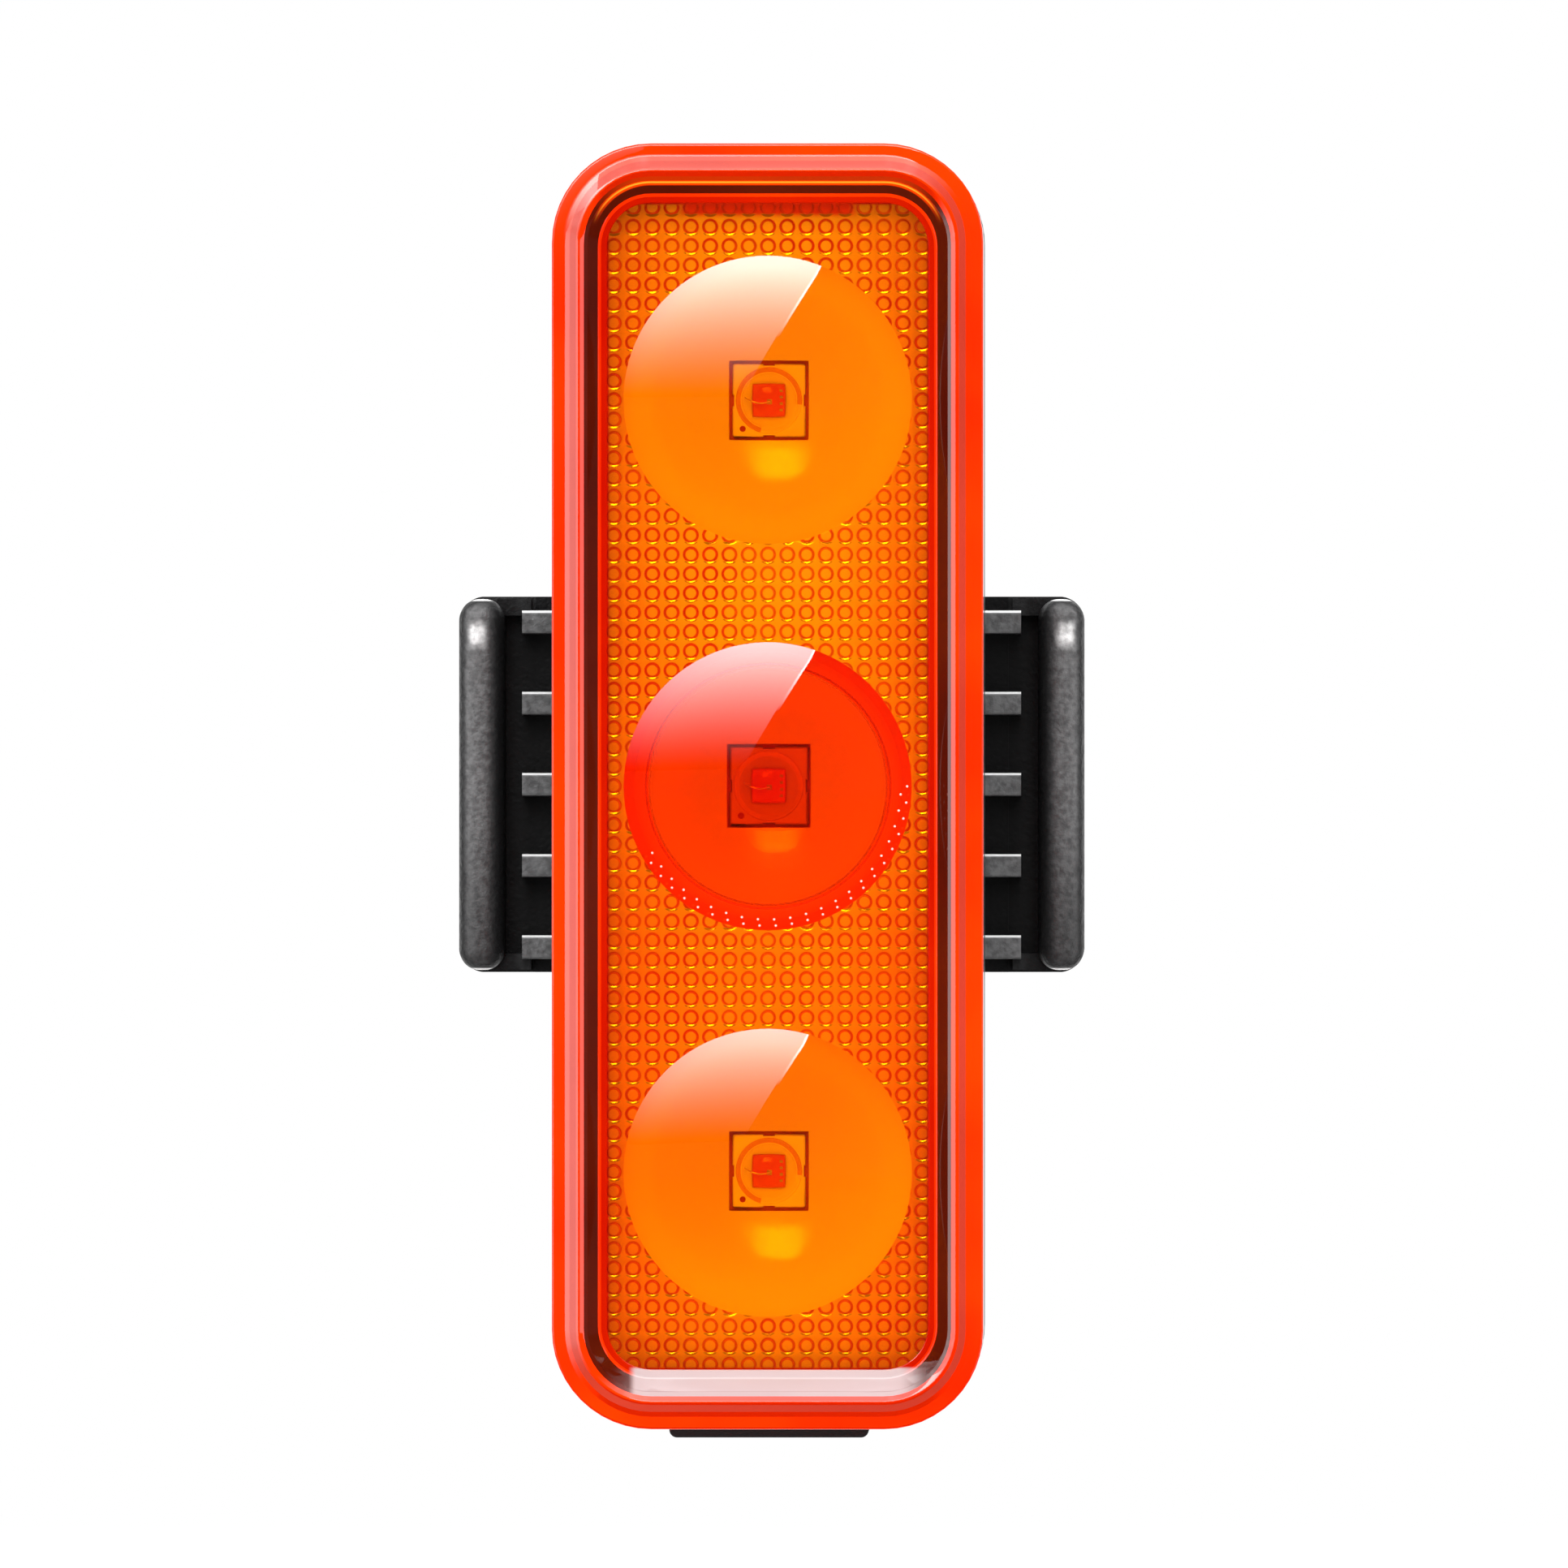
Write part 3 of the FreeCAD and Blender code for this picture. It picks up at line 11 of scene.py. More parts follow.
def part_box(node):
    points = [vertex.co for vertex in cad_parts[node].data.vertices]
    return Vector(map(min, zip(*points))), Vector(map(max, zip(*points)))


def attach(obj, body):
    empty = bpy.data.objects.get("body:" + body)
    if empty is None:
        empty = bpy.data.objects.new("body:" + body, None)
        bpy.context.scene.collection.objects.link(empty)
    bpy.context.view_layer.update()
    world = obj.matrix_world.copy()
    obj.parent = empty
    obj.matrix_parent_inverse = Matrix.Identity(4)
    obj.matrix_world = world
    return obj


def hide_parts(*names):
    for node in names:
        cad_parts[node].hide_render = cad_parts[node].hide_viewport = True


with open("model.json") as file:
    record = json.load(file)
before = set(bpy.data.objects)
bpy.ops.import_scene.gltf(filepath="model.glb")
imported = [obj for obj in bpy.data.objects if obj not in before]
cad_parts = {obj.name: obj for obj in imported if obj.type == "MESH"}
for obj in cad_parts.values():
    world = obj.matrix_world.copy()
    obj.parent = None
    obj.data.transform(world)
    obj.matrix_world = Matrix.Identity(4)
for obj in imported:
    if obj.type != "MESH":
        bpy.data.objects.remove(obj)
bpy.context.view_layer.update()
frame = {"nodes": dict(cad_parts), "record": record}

# Lengths in the tables below are in millimetres, as on the part's own drawing; MM turns them into metres.
# A depth is a distance from the seatpost's axis towards the lens, so y = -depth.
MM = 0.001


def node_box(name):
    """A CAD node's box as (left, right, back, front, low, high) in millimetres, with depths for y."""
    low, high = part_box(name)
    return (low.x / MM, high.x / MM, -high.y / MM, -low.y / MM, low.z / MM, high.z / MM)


# Lens cover. An inset is a distance from the cover's outer edge, seen from the front.
_, HALF_WIDTH, PARTING, DOME_CREST, _, HALF_HEIGHT = node_box("lens_cover")
COVER_FRONT = DOME_CREST - 0.2
COVER_CORNER = 5.75
WINDOW_INSET = 3.25
WINDOW_END_EXTRA = 0.25
WINDOW_FRONT = COVER_FRONT - 1.3
WINDOW_HALF_WIDTH = HALF_WIDTH - WINDOW_INSET
WINDOW_HALF_HEIGHT = HALF_HEIGHT - WINDOW_INSET - WINDOW_END_EXTRA
WALL = 1.6
SEAT_GAP = 0.02
OPTIC_PITCH = 22.4
OPTICS = {"top": OPTIC_PITCH, "middle": 0.0, "bottom": -OPTIC_PITCH}
DOME_RADIUS = 8.35
DOME_RISE = 1.5
DOME_BALL = (DOME_RADIUS ** 2 + DOME_RISE ** 2) / (2 * DOME_RISE)
CREST_INSET, CREST_RISE = 1.58, 0.03
OUTER_SLOPE, INNER_SLOPE = 0.47, 0.65
SHOULDER_INSET = 0.70
GROOVE_INSET, GROOVE_HALF, GROOVE_DEPTH = 1.22, 0.20, 0.005
GLOW_INSET = 1.86
WALL_TOP_INSET = 2.06
STREAK_INSET = 2.26
LEDGE_INSET, LEDGE_RISE = 2.72, 0.15

# Reflector
_, REFLECTOR_RIGHT, CUP_BOTTOM, _, _, REFLECTOR_TOP = node_box("reflector")
BEZEL_THICKNESS = 0.6
REFLECTOR_FRONT = node_box("bezel_frame")[3] - BEZEL_THICKNESS - SEAT_GAP
PLATE_BACK = REFLECTOR_FRONT - 1.0 + SEAT_GAP
REFLECTOR_CORNER = COVER_CORNER - 2.35
BOWL_RADIUS = 8.25
LENS_SEAT_RADIUS = 8.2
MIDDLE_BOWL_RADIUS = 7.3
BOWL_FLOOR = CUP_BOTTOM + 0.6
CUP_WALL = 0.8
LED_WINDOW = 3.9
DIMPLE_PITCH = 1.119
DIMPLE_SIDES = 16
# Radius and height of the rings that shape one groove, from its edge inwards.
DIMPLE_RINGS = ((0.555, 0.0), (0.405, -0.062), (0.36, 0.01), (0.2, 0.03))


def placed(name, data):
    """A new object in the scene."""
    thing = bpy.data.objects.new(name, data)
    bpy.context.scene.collection.objects.link(thing)
    return thing


def edited(mesh, change):
    """Run a change on a mesh as a bmesh."""
    bm = bmesh.new()
    bm.from_mesh(mesh)
    change(bm)
    bm.to_mesh(mesh)
    bm.free()


class Shell:
    """Collects vertices and faces of a mesh, with a material number and a flat mark for each face."""

    def __init__(self):
        self.points, self.faces, self.slots, self.flats = [], [], [], []

    def add(self, points):
        """Add points given as (x, depth, z) and return their numbers."""
        first = len(self.points)
        self.points.extend((x * MM, -depth * MM, z * MM) for x, depth, z in points)
        return list(range(first, len(self.points)))

    def face(self, corners, slot=0, flat=False):
        self.faces.append(tuple(corners))
        self.slots.append(slot)
        self.flats.append(flat)

    def bridge(self, first, second, slot=0):
        """Quads between two closed rings that have as many points."""
        for i in range(len(first)):
            j = (i + 1) % len(first)
            self.face((first[i], first[j], second[j], second[i]), slot)

    def loft(self, rings, slot=0):
        """Quads between each ring and the next."""
        for first, second in zip(rings, rings[1:]):
            self.bridge(first, second, slot)

    def solid(self, rings, slot=0):
        """A loft that is closed by a face at each end."""
        self.face(rings[0], slot)
        self.loft(rings, slot)
        self.face(rings[-1], slot)

    def turn(self, profile, x=0.0, z=0.0, count=96):
        """A loft round a level axis at (x, z) through a profile of (radius, depth); returns its rings."""
        rings = [self.add(circle(radius, depth, x, z, count)) for radius, depth in profile]
        self.loft(rings)
        return rings

    def fan(self, ring, tip, slot=0, flat=False):
        """Triangles from a ring to a tip given as (x, depth, z)."""
        centre = self.add([tip])[0]
        for i in range(len(ring)):
            self.face((ring[i], ring[(i + 1) % len(ring)], centre), slot, flat)

    def patch(self, rings, keep, extra=(), height=None):
        """Triangles between rings that are already there, where keep(x, z) holds. The extra points (x, z) get
        their depths from height(x, z)."""
        numbers = [n for ring in rings for n in ring]
        flat_points = [Vector((self.points[n][0] / MM, self.points[n][2] / MM)) for n in numbers]
        flat_points += [Vector(p) for p in extra]
        numbers += self.add([(x, height(x, z), z) for x, z in extra])
        edges, start = [], 0
        for ring in rings:
            edges += [(start + i, start + (i + 1) % len(ring)) for i in range(len(ring))]
            start += len(ring)
        verts, _, faces, origin, _, _ = delaunay_2d_cdt(flat_points, edges, [], 0, 1e-7)
        for f in faces:
            middle = sum((verts[i] for i in f), Vector((0, 0))) / len(f)
            if keep(middle.x, middle.y):
                self.face([numbers[origin[i][0]] for i in f], 0, height is None)

    def build(self, name, materials, smooth):
        """Make the object, turn its faces outward and mark edges sharper than an angle in degrees."""
        mesh = bpy.data.meshes.new(name)
        mesh.from_pydata(self.points, [], self.faces)
        mesh.polygons.foreach_set("material_index", self.slots)
        for m in materials:
            mesh.materials.append(m)

        def mark_edges(bm):
            bm.faces.ensure_lookup_table()
            bmesh.ops.recalc_face_normals(bm, faces=bm.faces)
            for f in bm.faces:
                f.smooth = True
            for e in bm.edges:
                sides = e.link_faces
                alike = len(sides) == 2 and self.flats[sides[0].index] == self.flats[sides[1].index]
                e.smooth = alike and sides[0].normal.angle(sides[1].normal, 0) <= radians(smooth)

        edited(mesh, mark_edges)
        return placed(name, mesh)


def circle(radius, depth, x=0.0, z=0.0, count=96):
    step = 2 * pi / count
    return [(x + radius * cos(i * step), depth, z + radius * sin(i * step)) for i in range(count)]


def rounded(half_width, half_height, corner, depth, steps=12):
    """Points of an upright rectangle with round corners."""
    points = []
    for k, (sx, sz) in enumerate(((1, 1), (-1, 1), (-1, -1), (1, -1))):
        cx, cz = sx * (half_width - corner), sz * (half_height - corner)
        for i in range(steps + 1):
            a = radians(90 * k + 90 * i / steps)
            points.append((cx + corner * cos(a), depth, cz + corner * sin(a)))
    return points


def inside_rounded(x, z, half_width, half_height, corner):
    dx, dz = abs(x) - (half_width - corner), abs(z) - (half_height - corner)
    return hypot(max(dx, 0), max(dz, 0)) + min(max(dx, dz), 0) < corner


def filleted(corners, steps=5):
    """Points of an open outline (inset, depth, radius, mark), with arcs at the corners that have a radius."""
    result = [(corners[0][0], corners[0][1], corners[0][3])]
    for before, here, after in zip(corners, corners[1:], corners[2:]):
        at, radius, mark = Vector(here[:2]), here[2], here[3]
        if radius == 0:
            result.append((at.x, at.y, mark))
            continue
        u = (Vector(before[:2]) - at).normalized()
        v = (Vector(after[:2]) - at).normalized()
        half = u.angle(v) / 2
        centre = at + (u + v).normalized() * (radius / sin(half))
        start = at + u * (radius / tan(half)) - centre
        end = at + v * (radius / tan(half)) - centre
        sweep = start.angle(end)
        for i in range(steps + 1):
            a, b = sin((1 - i / steps) * sweep), sin(i / steps * sweep)
            p = centre + (start * a + end * b) / sin(sweep)
            result.append((p.x, p.y, mark))
    result.append((corners[-1][0], corners[-1][1], corners[-1][3]))
    return result


def outside(openings, gap):
    """A test whether (x, z) is further than the gap from every round opening, given as {z: radius}."""
    return lambda x, z: all(hypot(x, z - c) > radius + gap for c, radius in openings.items())


def cap(shell, ring, radius, depth_at, z=0.0, steps=12):
    """Close a round ring with smaller ones and a tip, at the depths that depth_at(radius) gives."""
    rings = [ring]
    for i in range(1, steps):
        inner = radius * (1 - i / steps)
        rings.append(shell.add(circle(inner, depth_at(inner), 0, z)))
    shell.loft(rings)
    shell.fan(rings[-1], (0, depth_at(0), z))


# Materials

class Tree:
    """Node tree of a material or world, with short calls. Inputs are sockets, numbers or colours."""

    def __init__(self, owner):
        owner.use_nodes = True
        self.owner, self.nodes, self.links = owner, owner.node_tree.nodes, owner.node_tree.links
        self.nodes.clear()

    def fill(self, node, place, value):
        """Link a socket to another one or set its value."""
        if isinstance(value, bpy.types.NodeSocket):
            self.links.new(value, node.inputs[place])
        else:
            node.inputs[place].default_value = (*value, 1) if isinstance(value, tuple) else value

    def add(self, kind, *inputs, **named):
        """Add a node. Inputs fill its sockets in order; names with a capital are sockets, others settings."""
        node = self.nodes.new("ShaderNode" + kind)
        sockets = dict(enumerate(inputs))
        for name, value in named.items():
            if name[0].isupper():
                sockets[name.replace("_", " ")] = value
            else:
                setattr(node, name, value)
        for place, value in sockets.items():
            self.fill(node, place, value)
        return node

    def maths(self, operation, *values):
        return self.add("Math", *values, operation=operation).outputs[0]

    def folded(self, operation, values):
        return reduce(lambda a, b: self.maths(operation, a, b), values)

    def times(self, *values):
        return self.folded("MULTIPLY", values)

    def most(self, *values):
        return self.folded("MAXIMUM", values)

    def less(self, first, second):
        return self.maths("SUBTRACT", first, second)

    def size(self, value):
        return self.maths("ABSOLUTE", value)

    def wrap(self, value, half):
        """The value moved by whole steps to between -half and half."""
        return self.maths("WRAP", value, half, -half)

    def reach(self, x, z):
        """Distance of a point from the middle."""
        return self.maths("SQRT", self.maths("ADD", self.times(x, x), self.times(z, z)))

    def mapped(self, value, low, high, start=0.0, end=1.0, how="SMOOTHSTEP"):
        return self.add("MapRange", Value=value, From_Min=low, From_Max=high, To_Min=start, To_Max=end,
                        interpolation_type=how).outputs[0]

    def blend(self, share, first, second):
        """Mix of two colours, which are sockets 6 and 7 and output 2 of its node."""
        node = self.add("Mix", share, data_type="RGBA")
        self.fill(node, 6, first)
        self.fill(node, 7, second)
        return node.outputs[2]

    def space(self, kind="Object"):
        """The piece's own coordinates in metres, or its normal."""
        return self.add("TexCoord").outputs[kind]

    def split(self, vector):
        return self.add("SeparateXYZ", vector).outputs

    def places(self):
        """The piece's own x and z in millimetres."""
        scaled = self.add("VectorMath", self.space(), Scale=1 / MM, operation="SCALE")
        x, _, z = self.split(scaled.outputs[0])
        return x, z

    def noise(self, scale, detail):
        return self.add("TexNoise", Vector=self.space(), Scale=scale, Detail=detail).outputs["Fac"]

    def grain(self, distance, *layers):
        """A normal bent by noise layers, each a (scale per metre, detail, weight) triple."""
        parts = [self.times(self.noise(scale, detail), weight) for scale, detail, weight in layers]
        return self.bump(self.folded("ADD", parts), distance)

    def bump(self, height, distance):
        return self.add("Bump", Height=height, Strength=1.0, Distance=distance).outputs[0]

    def ramp(self, source, *stops):
        """Colour ramp; stops are (position, colour)."""
        node = self.add("ValToRGB", source)
        elements = node.color_ramp.elements
        while len(elements) < len(stops):
            elements.new(0.5)
        for element, (position, colour) in zip(elements, stops):
            element.position = position
            element.color = (*colour, 1)
        return node.outputs["Color"]

    def seen(self):
        """1 for rays that look at the backdrop: from the camera, by reflection or through clear plastic."""
        path = self.add("LightPath").outputs
        return self.most(path["Is Camera Ray"], path["Is Glossy Ray"], path["Is Transmission Ray"])

    def finish(self, shader):
        """Join a shader to the output and return the material."""
        self.add("OutputMaterial", shader.outputs[0])
        return self.owner

    def plastic(self, **values):
        return self.finish(self.add("BsdfPrincipled", **values))

    def glow(self, strength):
        return self.finish(self.add("Emission", Strength=strength))


def new_material(name):
    return Tree(bpy.data.materials.new(name))


def squared(colour):
    return tuple(c * c for c in colour)


def clear_material(name, passed, ior, coat=0.0, coat_ior=1.5, flange=None):
    """Tinted clear plastic, a little wavy. Passed is the share of light that one crossing of the surface lets
    through; flange is an optional (radius, share) for what lies further out from the piece's middle."""
    tree = new_material(name)
    glass = tree.add("BsdfPrincipled", Base_Color=squared(passed), Roughness=0.0, IOR=ior,
                     Normal=tree.grain(0.000004, (90, 2, 1.0), (900, 3, 0.12)),
                     Transmission_Weight=1.0, Coat_Weight=coat, Coat_IOR=coat_ior, Coat_Roughness=0.01)
    plain = tree.add("BsdfTransparent", Color=passed)
    if flange:
        radius, outer = flange
        share = tree.mapped(tree.reach(*tree.places()), radius - 0.05, radius + 0.1)
        tree.fill(glass, "Base Color", tree.blend(share, squared(passed), squared(outer)))
        tree.fill(plain, "Color", tree.blend(share, passed, outer))
    path = tree.add("LightPath").outputs
    lamp = tree.most(path["Is Shadow Ray"], path["Is Diffuse Ray"])
    return tree.finish(tree.add("MixShader", lamp, glass.outputs[0], plain.outputs[0]))


def solid_material(name, low, high, roughness, layers=((3000, 2, 1.0),), distance=0.00001, swing=0.08,
                   metallic=0.0, specular=0.5, sheen=0.0):
    """Opaque finish: two near colours mixed by noise, a grain, and a roughness that varies by a swing."""
    tree = new_material(name)
    cloud = tree.noise(60, 4)
    return tree.plastic(
        Base_Color=tree.ramp(cloud, (0.3, low), (0.7, high)), Metallic=metallic,
        Roughness=tree.mapped(cloud, 0, 1, roughness - swing, roughness + swing, "LINEAR"),
        Normal=tree.grain(distance, *layers), Specular_IOR_Level=specular, Sheen_Weight=sheen)


def foot_reflection_share(tree, x, z):
    """1 on the middle of the rim's lower end inside its crest, where the pale painted reflection goes, with
    an abrupt left and a soft right end.
    """
    left, right, top = (-8.1, -7.6), (9.4, 7.6), (-33.6, -33.8)
    return tree.times(tree.mapped(x, *left), tree.mapped(x, *right), tree.mapped(z, *top))


def rim_inset(tree, x, z):
    """Inset of a point in millimetres, measured square to the edge, round the cover's corners too."""
    over_x = tree.most(tree.less(tree.size(x), HALF_WIDTH - COVER_CORNER), 0)
    over_z = tree.most(tree.less(tree.size(z), HALF_HEIGHT - COVER_CORNER), 0)
    return tree.less(COVER_CORNER, tree.reach(over_x, over_z))


RED = (0.86, 0.014, 0.0), (0.9, 0.04, 0.0)
# Colours of the painted light on the upper end's wall.
BROW_LIGHT = (0.85, 0.045, 0.0)
STREAK_LIGHT = (1.0, 0.32, 0.02)


def rim_material(name, low, high, left_gloss=1.0, right_gloss=1.0, foot=None, brow=False, below=None):
    """Part of the cover that is red all through. The glosses are the coat's shares at the left and right on
    faces that don't look up. Foot is a pale painted reflection on the lower end and below is painted shade, a
    darker red on facets that lean down; a brow is painted light, a lighter red outer part and an orange
    streak on the upper end's wall."""
    tree = new_material(name)
    x, z = tree.places()
    _, forward, upward = tree.split(tree.space("Normal"))
    colour = tree.ramp(tree.noise(80, 3), (0.3, low), (0.7, high))
    # Painted light on the upper end's wall: a lighter red outer part and an orange streak.
    if brow:
        inset = rim_inset(tree, x, z)
        leaning = tree.mapped(upward, -0.25, -0.75)
        outer = tree.mapped(inset, STREAK_INSET + 0.20, STREAK_INSET + 0.12)
        colour = tree.blend(tree.times(outer, leaning), colour, BROW_LIGHT)
        streak = tree.mapped(tree.size(tree.less(inset, STREAK_INSET)), 0.07, 0.02)
        colour = tree.blend(tree.times(streak, leaning), colour, STREAK_LIGHT)
    # Painted shade: a darker red on facets that lean down, away from the light above.
    if below:
        leaning = tree.times(tree.mapped(upward, -0.22, -0.36), tree.mapped(forward, -0.6, -0.8))
        colour = tree.blend(leaning, colour, below)
    # Painted reflection: a pale pink-grey patch on the lower end.
    if foot:
        colour = tree.blend(foot_reflection_share(tree, x, z), colour, foot)
    sides = tree.mapped(x, -2.0, 2.0, left_gloss, right_gloss)
    return tree.plastic(
        Base_Color=colour, Coat_Weight=tree.most(sides, tree.mapped(upward, 0.2, 0.6)),
        Normal=tree.grain(0.00002, (120, 2, 1.0), (2500, 3, 0.15)),
        Roughness=0.2, Specular_IOR_Level=0.0, Coat_IOR=1.9, Coat_Roughness=0.02)


def reflector_material():
    """Bright moulded reflector, painted brighter and yellower above the middle and darker, redder lower down
    and towards its sides. Each small groove gets a painted shade ring and, on its lower side, a painted glint
    that is also more metallic; the bowls are painted brighter on the upper optics and towards their lower
    right."""
    tree = new_material("reflector_bright")
    x, z = tree.places()
    aside = tree.size(x)
    cloud = tree.noise(220, 3)
    shade_ring_radius, glint_radius = 0.385, 0.485
    dimple_z = tree.wrap(z, DIMPLE_PITCH / 2)
    from_dimple = tree.reach(tree.wrap(x, DIMPLE_PITCH / 2), dimple_z)
    bowl_z = tree.wrap(z, OPTIC_PITCH / 2)
    in_field = tree.mapped(tree.reach(x, bowl_z), BOWL_RADIUS, BOWL_RADIUS + 0.15)
    beyond = tree.most(tree.less(aside, WINDOW_HALF_WIDTH), tree.less(tree.size(z), WINDOW_HALF_HEIGHT))
    margin = tree.mapped(beyond, -0.1, 0.05)
    grooved = tree.times(in_field, tree.less(1.0, margin))
    # Painted shade: a deep red ring just inside each groove's edge.
    shade_ring = tree.mapped(tree.size(tree.less(from_dimple, shade_ring_radius)), 0.115, 0.055)
    shade_ring = tree.times(shade_ring, grooved, tree.mapped(cloud, 0.3, 0.7, 0.75, 1.0))
    # Painted glint on the lower outer side of each groove: near white, and also made more metallic.
    flank_glint = tree.mapped(tree.size(tree.less(from_dimple, glint_radius)), 0.09, 0.065)
    flank_glint = tree.times(flank_glint, tree.mapped(dimple_z, -0.34, -0.42), grooved)
    height = tree.mapped(z, -34, 34, how="LINEAR")
    # Painted light and shade: the field is brighter and yellower above the middle and darker, redder lower
    # down.
    field = tree.ramp(height, (0.0, (1.0, 0.74, 0.5)), (0.35, (1.0, 0.64, 0.4)), (0.66, (1.0, 0.98, 0.6)),
                      (1.0, (1.0, 0.95, 0.6)))
    # Painted shade: darker and redder towards the sides.
    field = tree.blend(tree.times(tree.mapped(aside, 2.0, 10.0), 0.55), field, (0.96, 0.25, 0.12))
    field = tree.blend(margin, field, (0.80, 0.04, 0.01))
    brow = tree.times(tree.mapped(z, 32.9, 33.3), tree.mapped(aside, 5.4, 4.6))
    field = tree.blend(brow, field, (0.98, 0.10, 0.02))
    # Painted light: the bowls are brighter and yellower on the upper optics and towards each bowl's lower
    # right, where the walls face the light.
    bowl = tree.ramp(height, (0.1, (0.99, 0.72, 0.4)), (0.35, (0.99, 0.76, 0.4)), (0.7, (1.0, 0.98, 0.6)))
    lit_down_right = tree.mapped(tree.less(tree.times(x, 0.5), bowl_z), -5.0, 6.0)
    bowl = tree.blend(0.35, bowl, (0.98, 0.50, 0.30))
    bowl = tree.blend(tree.times(lit_down_right, 0.8), bowl, (1.0, 1.0, 0.6))
    colour = tree.blend(in_field, bowl, field)
    # Painted shade ring and painted glint laid over the colour.
    colour = tree.blend(shade_ring, colour, (0.74, 0.10, 0.03))
    colour = tree.blend(flank_glint, colour, (1.0, 1.0, 0.9))
    metal = tree.most(tree.times(flank_glint, 0.7), tree.mapped(in_field, 0, 1, 0.14, 0.08))
    return tree.plastic(
        Base_Color=colour, Normal=tree.bump(cloud, 0.00001), Metallic=metal,
        Coat_Weight=tree.times(in_field, 0.5), Roughness=tree.mapped(in_field, 0, 1, 0.21, 0.13),
        Specular_IOR_Level=0.6, Coat_Roughness=0.08)


def board_material():
    """Green solder mask with a reddish copper land round each LED and fine tracks."""
    tree = new_material("board_mask")
    x, z = tree.places()
    near = tree.most(tree.size(x), tree.size(tree.wrap(z, OPTIC_PITCH / 2)))
    tracks = tree.add("TexBrick", Vector=tree.space(), Scale=260.0, Mortar_Size=0.03)
    mask = tree.blend(tracks.outputs["Fac"], (0.012, 0.11, 0.045), (0.03, 0.19, 0.09))
    return tree.plastic(
        Base_Color=tree.blend(tree.mapped(near, 2.6, 2.5), mask, (0.95, 0.18, 0.06)),
        Normal=tree.grain(0.00001, (1500, 2, 1.0)), Roughness=0.4, Coat_Weight=0.3, Coat_Roughness=0.2)


def bracket_material():
    """Black moulded plastic with a coarse grain. Its front faces are painted lighter where light falls on
    them, less so low on the bars, and its upper edges and the bars' tips get painted highlights."""
    tree = new_material("bracket_plastic")
    across, away, up = tree.split(tree.space())
    _, forward, upward = tree.split(tree.space("Normal"))
    aside = tree.size(across)
    front = tree.mapped(away, -0.0203, -0.0213)
    on_ribs = tree.mapped(aside, 0.0152, 0.0146)
    on_bars = tree.times(tree.mapped(aside, 0.0159, 0.0171), tree.mapped(aside, 0.0177, 0.0182, 1, 0.35),
                         tree.mapped(up, -0.0102, 0.0, 0.4, 1.0))
    speck = tree.noise(2600, 4)
    # Painted light: the front faces of ribs and bars are made lighter as if lit, speckled by noise, dimmer
    # low on the bars and at their outer side.
    painted_lit_front = tree.times(front, tree.most(on_ribs, on_bars), tree.mapped(forward, -0.45, -0.85),
                      tree.mapped(speck, 0.3, 0.7, 0.5, 1.0))
    # Painted highlight on the up-facing front edges of the ribs.
    edge = tree.times(tree.mapped(upward, 0.3, 0.55), tree.mapped(forward, -0.3, -0.5), front, on_ribs)
    # Painted highlight near the upper end of each bar's front.
    tip = tree.times(tree.mapped(up, 0.0077, 0.0087), tree.mapped(up, 0.0098, 0.0090), painted_lit_front,
                     tree.mapped(aside, 0.0164, 0.0171), tree.mapped(aside, 0.0179, 0.0174))
    # Painted highlight: thin pale lines on nearly level faces near the front, away from the ribs, such as the
    # bars' top and bottom.
    lip_highlight = tree.times(tree.mapped(tree.size(upward), 0.88, 0.96), front, tree.less(1.0, on_ribs))
    colour = tree.blend(painted_lit_front, (0.012, 0.012, 0.0125), (0.125, 0.125, 0.127))
    colour = tree.blend(tip, colour, (0.8, 0.8, 0.8))
    colour = tree.blend(tree.most(edge, lip_highlight), colour, (0.75, 0.75, 0.75))
    return tree.plastic(
        Base_Color=colour, Normal=tree.grain(0.00005, (4200, 3, 1.0), (1500, 2, 0.6)),
        Specular_IOR_Level=tree.mapped(front, 0, 1, 0.15, 0.5),
        Roughness=tree.mapped(speck, 0.3, 0.7, 0.32, 0.5))


